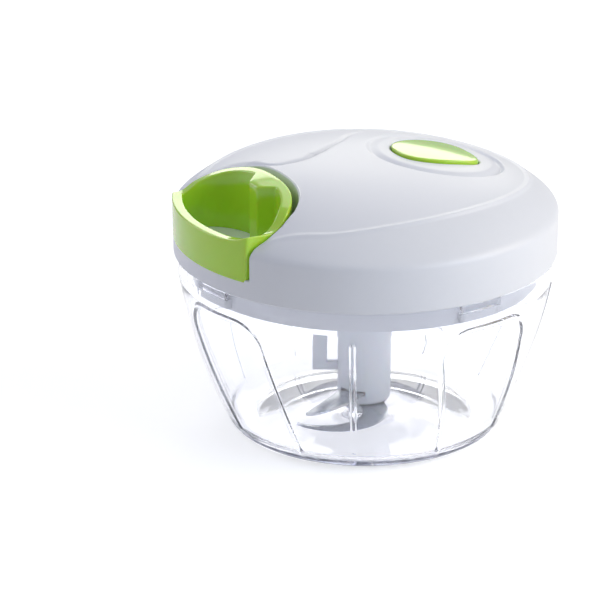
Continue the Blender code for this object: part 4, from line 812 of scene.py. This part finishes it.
def beadPaths():
    # Points (direction in degrees, height) along the window's bead and the rib of one quarter.
    look = bowlLook
    cornerZ = look["windowTop"] - look["windowCorner"]
    cornerAngle = np.degrees(look["windowCorner"] / wallRadius(cornerZ))
    count = 160
    share = np.linspace(0, 1, count)
    z = np.concatenate([look["windowFoot"] + (cornerZ - look["windowFoot"]) * share,
                        cornerZ + look["windowCorner"] * np.sin(share[1:] * math.pi / 2)])
    offset = np.concatenate([np.full(count, look["windowHalf"]),
                             look["windowHalf"] - cornerAngle * (1 - np.cos(share[1:] * math.pi / 2))])
    across = np.linspace(1, -1, count // 2)
    window = np.stack([np.concatenate([leanAt(z) - offset, across * -offset[-1], (leanAt(z) + offset)[::-1]]),
                       np.concatenate([z, np.full(count // 2, look["windowTop"]), z[::-1]])], -1)
    window[:, 0] += look["windowAt"]
    rib = np.stack([np.full(count, look["ribAt"]),
                    look["ribTop"] + (look["ribFoot"] - look["ribTop"]) * share], -1)
    return np.concatenate([window, rib])


def beadRise(angle, z):
    # A bead has a level back and steep smooth flanks, over the distance to its path on the wall.
    quarter = 360 / bowlLook["windows"]
    radius = wallRadius(z)
    nearest = np.full(np.broadcast(angle, z).shape, 1.0)
    for point, height in beadPaths():
        around = (angle - point + quarter / 2) % quarter - quarter / 2
        nearest = np.minimum(nearest, np.hypot(np.radians(around) * radius, z - height))
    flat = bowlLook["beadFlat"]
    return bowlLook["bead"] * (1 - smoothStep((nearest / bowlLook["beadHalf"] - flat) / (1 - flat)))


def stretches(parts):
    # Even steps in each stretch, without the last point, which starts the next one.
    return np.concatenate([np.linspace(start, end, round(abs(end - start) / step), endpoint=False)
                           for start, end, step in parts])


def makeBowl():
    look = bowlLook
    rim, wall = look["rim"], look["wall"]
    inner = rim - wall
    quarter = np.linspace(0, math.pi / 2, 7)

    def corner(bottom, inset):
        top = bottom + look["cornerRise"]
        return [(wallRadius(top) - inset - look["corner"] * (1 - math.cos(turn)),
                 top - look["cornerRise"] * math.sin(turn)) for turn in quarter[1:]]

    edge = look["round"]
    lip = [(rim - edge + edge * math.sin(turn), look["height"] - edge + edge * math.cos(turn))
           for turn in quarter]
    band = [(rim, look["bandTop"]), (rim, look["bandFoot"] + look["bandSoft"]),
            (rim - look["step"], look["bandFoot"])]
    heights = stretches(look["wallRows"])
    footOut = corner(0, 0)
    land = footOut[-1][0]
    under = [(land - look["land"], 0), (land - look["land"] - look["recess"], look["recess"]),
             (0, look["recess"])]
    outside = np.array(lip + band + [(wallRadius(z), z) for z in heights] + footOut + under)
    insideHeights = np.linspace(look["bandFoot"] - look["bandInset"], look["floor"] + look["cornerRise"],
                                look["insideRows"])
    ledge = [(inner, look["height"] - edge), (inner, look["ledgeTop"] + 0.0001), (inner, look["ledgeTop"]),
             (inner, look["ledgeFoot"]), (inner, look["ledgeFoot"] - 0.0001),
             (inner, look["bandFoot"] + look["bandInset"])]
    floorRun = [(look["boss"] + look["bossSoft"], look["floor"]), (look["boss"], look["floor"] + 0.0005),
                (look["boss"], look["bossTop"]), (look["bore"], look["bossTop"]), (look["bore"], look["seat"]),
                (0, look["seat"])]
    inside = np.array([(inner + edge, look["height"])] + ledge
                      + [(wallRadius(z) - wall, z) for z in insideHeights]
                      + corner(look["floor"], wall) + floorRun)
    profile = np.concatenate([outside[::-1], inside])
    # the columns lie close together along the beads, and lean with the sides of the windows
    column = stretches(look["columns"])
    hold = np.tile(smoothStep((look["leanTo"] - np.abs(column)) / look["leanOver"]), look["windows"])
    quarterTurn = 360 / look["windows"]
    column = np.concatenate([column + quarterTurn * part for part in range(look["windows"])])
    angle = look["windowAt"] + column + leanAt(profile[:, 1:]) * hold
    radius = np.repeat(profile[:, :1], len(column), 1)
    z = np.repeat(profile[:, 1:], len(column), 1)
    wallRows = slice(len(under) + len(footOut), len(outside) - len(lip))
    radius[wallRows] += beadRise(angle[wallRows], profile[wallRows, 1:])
    # the ledges stand out of the two rows inside the rim that are their top and foot
    ledgeRows = slice(len(outside) + 3, len(outside) + 5)
    away = np.abs((angle[ledgeRows] - look["ledgeAt"] + quarterTurn / 2) % quarterTurn - quarterTurn / 2)
    radius[ledgeRows] -= look["ledgeReach"] * smoothStep((look["ledgeHalf"] - away) / look["ledgeEnd"] + 0.5)
    turn = np.radians(angle)
    grid = np.stack([radius * np.cos(turn), radius * np.sin(turn), z], -1)
    return makePiece("clearBowl", [(grid, True, False)], clearSan, sharp=50, merge=0.000001)


clearBowl = makeBowl()
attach(clearBowl, "bowl")
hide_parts("bowl")


# Steel blades: a band that swings round the post while it runs out to the tip, thick along its back and
# ground down on both faces to a thin cutting edge

bladeLook = {
    "reach": 0.0330, "root": 0.0037, "width": 0.0092, "tip": 0.0010, "ease": 1.6, "curl": 1.4, "thick": 0.0010,
    "edge": 0.00012, "ground": 0.34, "backAcross": 0.94, "backRise": 0.38, "rows": 72,
}
blades = {
    # node: name, level, direction of the root, swing to the tip in degrees, side of the cutting edge
    "blade_lower": ("bladeLower", 0.0072, 268.0, -69.0, 1),
    "blade_middle": ("bladeMiddle", 0.0122, 214.0, -8.0, -1),
    "blade_upper": ("bladeUpper", 0.0160, 52.0, 8.0, 1),
}


def makeBlade(name, level, root, swing, cutting):
    look = bladeLook
    share = np.linspace(0, 1, look["rows"])
    distance = look["root"] + (look["reach"] - look["root"]) * (1 - (1 - share) ** look["ease"])
    angle = np.radians(root + swing * share ** look["curl"])
    middle = np.stack([distance * np.cos(angle), distance * np.sin(angle)], -1)
    along = np.gradient(middle, axis=0)
    side = np.stack([-along[:, 1], along[:, 0]], -1) / np.linalg.norm(along, axis=1)[:, None] * cutting
    half = (look["tip"] + (look["width"] - look["tip"]) * (1 - share ** 2)) / 2
    # round the section: back, upper face, start of the grinding, cutting edge, and back along the under side
    ground = 1 - 2 * look["ground"]
    across = np.array([-1, -look["backAcross"], ground, 1, 1, ground, -look["backAcross"], -1])
    rise = np.array([look["backRise"], 0.5, 0.5, look["edge"] / look["thick"] / 2])
    rise = np.concatenate([rise, -rise[::-1]]) * look["thick"]
    plan = middle[:, None, :] + side[:, None, :] * (across[None, :] * half[:, None])[..., None]
    height = np.broadcast_to(level + look["thick"] / 2 + rise, plan.shape[:2])
    rows = np.concatenate([plan, height[..., None]], -1)
    caps = [np.repeat(rows[end].mean(0)[None, None], rows.shape[1], 1) for end in (0, -1)]
    shape = np.concatenate([caps[0], rows, caps[1]])
    return makePiece(name, [(shape, True, cutting > 0)], groundSteel, sharp=20)


for nodeName, settings in blades.items():
    blade = makeBlade(*settings)
    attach(blade, "blade_unit")
    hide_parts(nodeName)


# Braided cord between the eyelet and the handle: eight strands each way that cross on a round core

cordLook = {
    "height": 0.0873, "radius": 0.0009, "depth": 0.00007, "strands": 8, "lay": 0.0042, "columns": 64, "rows": 60,
}
cordEnds = sorted(corner[0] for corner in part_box("pull_cord"))


def makeCord():
    look = cordLook
    x = np.linspace(cordEnds[0], cordEnds[1], look["rows"])[:, None]
    turn = np.linspace(0, 2 * math.pi, look["columns"], endpoint=False)[None, :]
    twist = 2 * math.pi * x / look["lay"]
    around = look["strands"] * turn / 2
    crossing = np.maximum(np.cos(around + twist * 2) ** 2, np.cos(around - twist * 2) ** 2)
    radius = look["radius"] - look["depth"] * (1 - crossing)
    rows = np.stack([np.broadcast_to(x, radius.shape), radius * np.cos(turn),
                     look["height"] + radius * np.sin(turn)], -1)
    caps = [np.repeat(np.array([[[end, 0, look["height"]]]]), look["columns"], 1) for end in cordEnds]
    return makePiece("pullCord", [(np.concatenate([caps[0], rows, caps[1]]), True, False)], nylonCord, sharp=60)


pullCord = makeCord()
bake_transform(pullCord)
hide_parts("pull_cord")


# Pieces that keep the imported solid's form: a merged copy, smooth where it is round, with softened edges where
# a rounding is given

copyLook = {"merge": 0.000001, "level": 0.2, "segments": 2, "edge": 40}      # metres, and angles in degrees


def smoothCopy(nodeName, name, material, body, slot, sharp, bevel=None):
    mesh = nodes[nodeName].data.copy()
    mesh.name = name
    shape = bmesh.new()
    shape.from_mesh(mesh)
    bmesh.ops.remove_doubles(shape, verts=shape.verts, dist=copyLook["merge"])
    bmesh.ops.dissolve_limit(shape, angle_limit=math.radians(copyLook["level"]), verts=shape.verts,
                             edges=shape.edges)
    shape.to_mesh(mesh)
    shape.free()
    mesh.materials.clear()
    mesh.materials.append(material)
    mesh.shade_smooth()
    mesh.set_sharp_from_angle(angle=math.radians(sharp))
    item = bpy.data.objects.new(name, mesh)
    scene.collection.objects.link(item)
    if bevel:
        rounding = item.modifiers.new("edgeRounding", "BEVEL")
        rounding.width = bevel
        rounding.segments = copyLook["segments"]
        rounding.limit_method = "ANGLE"
        rounding.angle_limit = math.radians(copyLook["edge"])
    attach(item, body)
    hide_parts(nodeName)
    print(name, len(mesh.polygons), "faces")


copies = {
    # node: name, material, body, material slot, sharp angle in degrees, edge rounding
    # the lid's inner plate takes the white ABS painted greyer, as painted shade
    "lid_base": ("lidBase", plateAbsPaintedShade, "lid", "white_plastic", 30, None),
    "blade_post": ("bladePost", milkyPp, "blade_unit", "white_plastic", 35, None),
    "mixing_paddle": ("mixingPaddle", milkyPp, "blade_unit", "white_plastic", 30, 0.0003),
}
for nodeName, settings in copies.items():
    smoothCopy(nodeName, *settings)
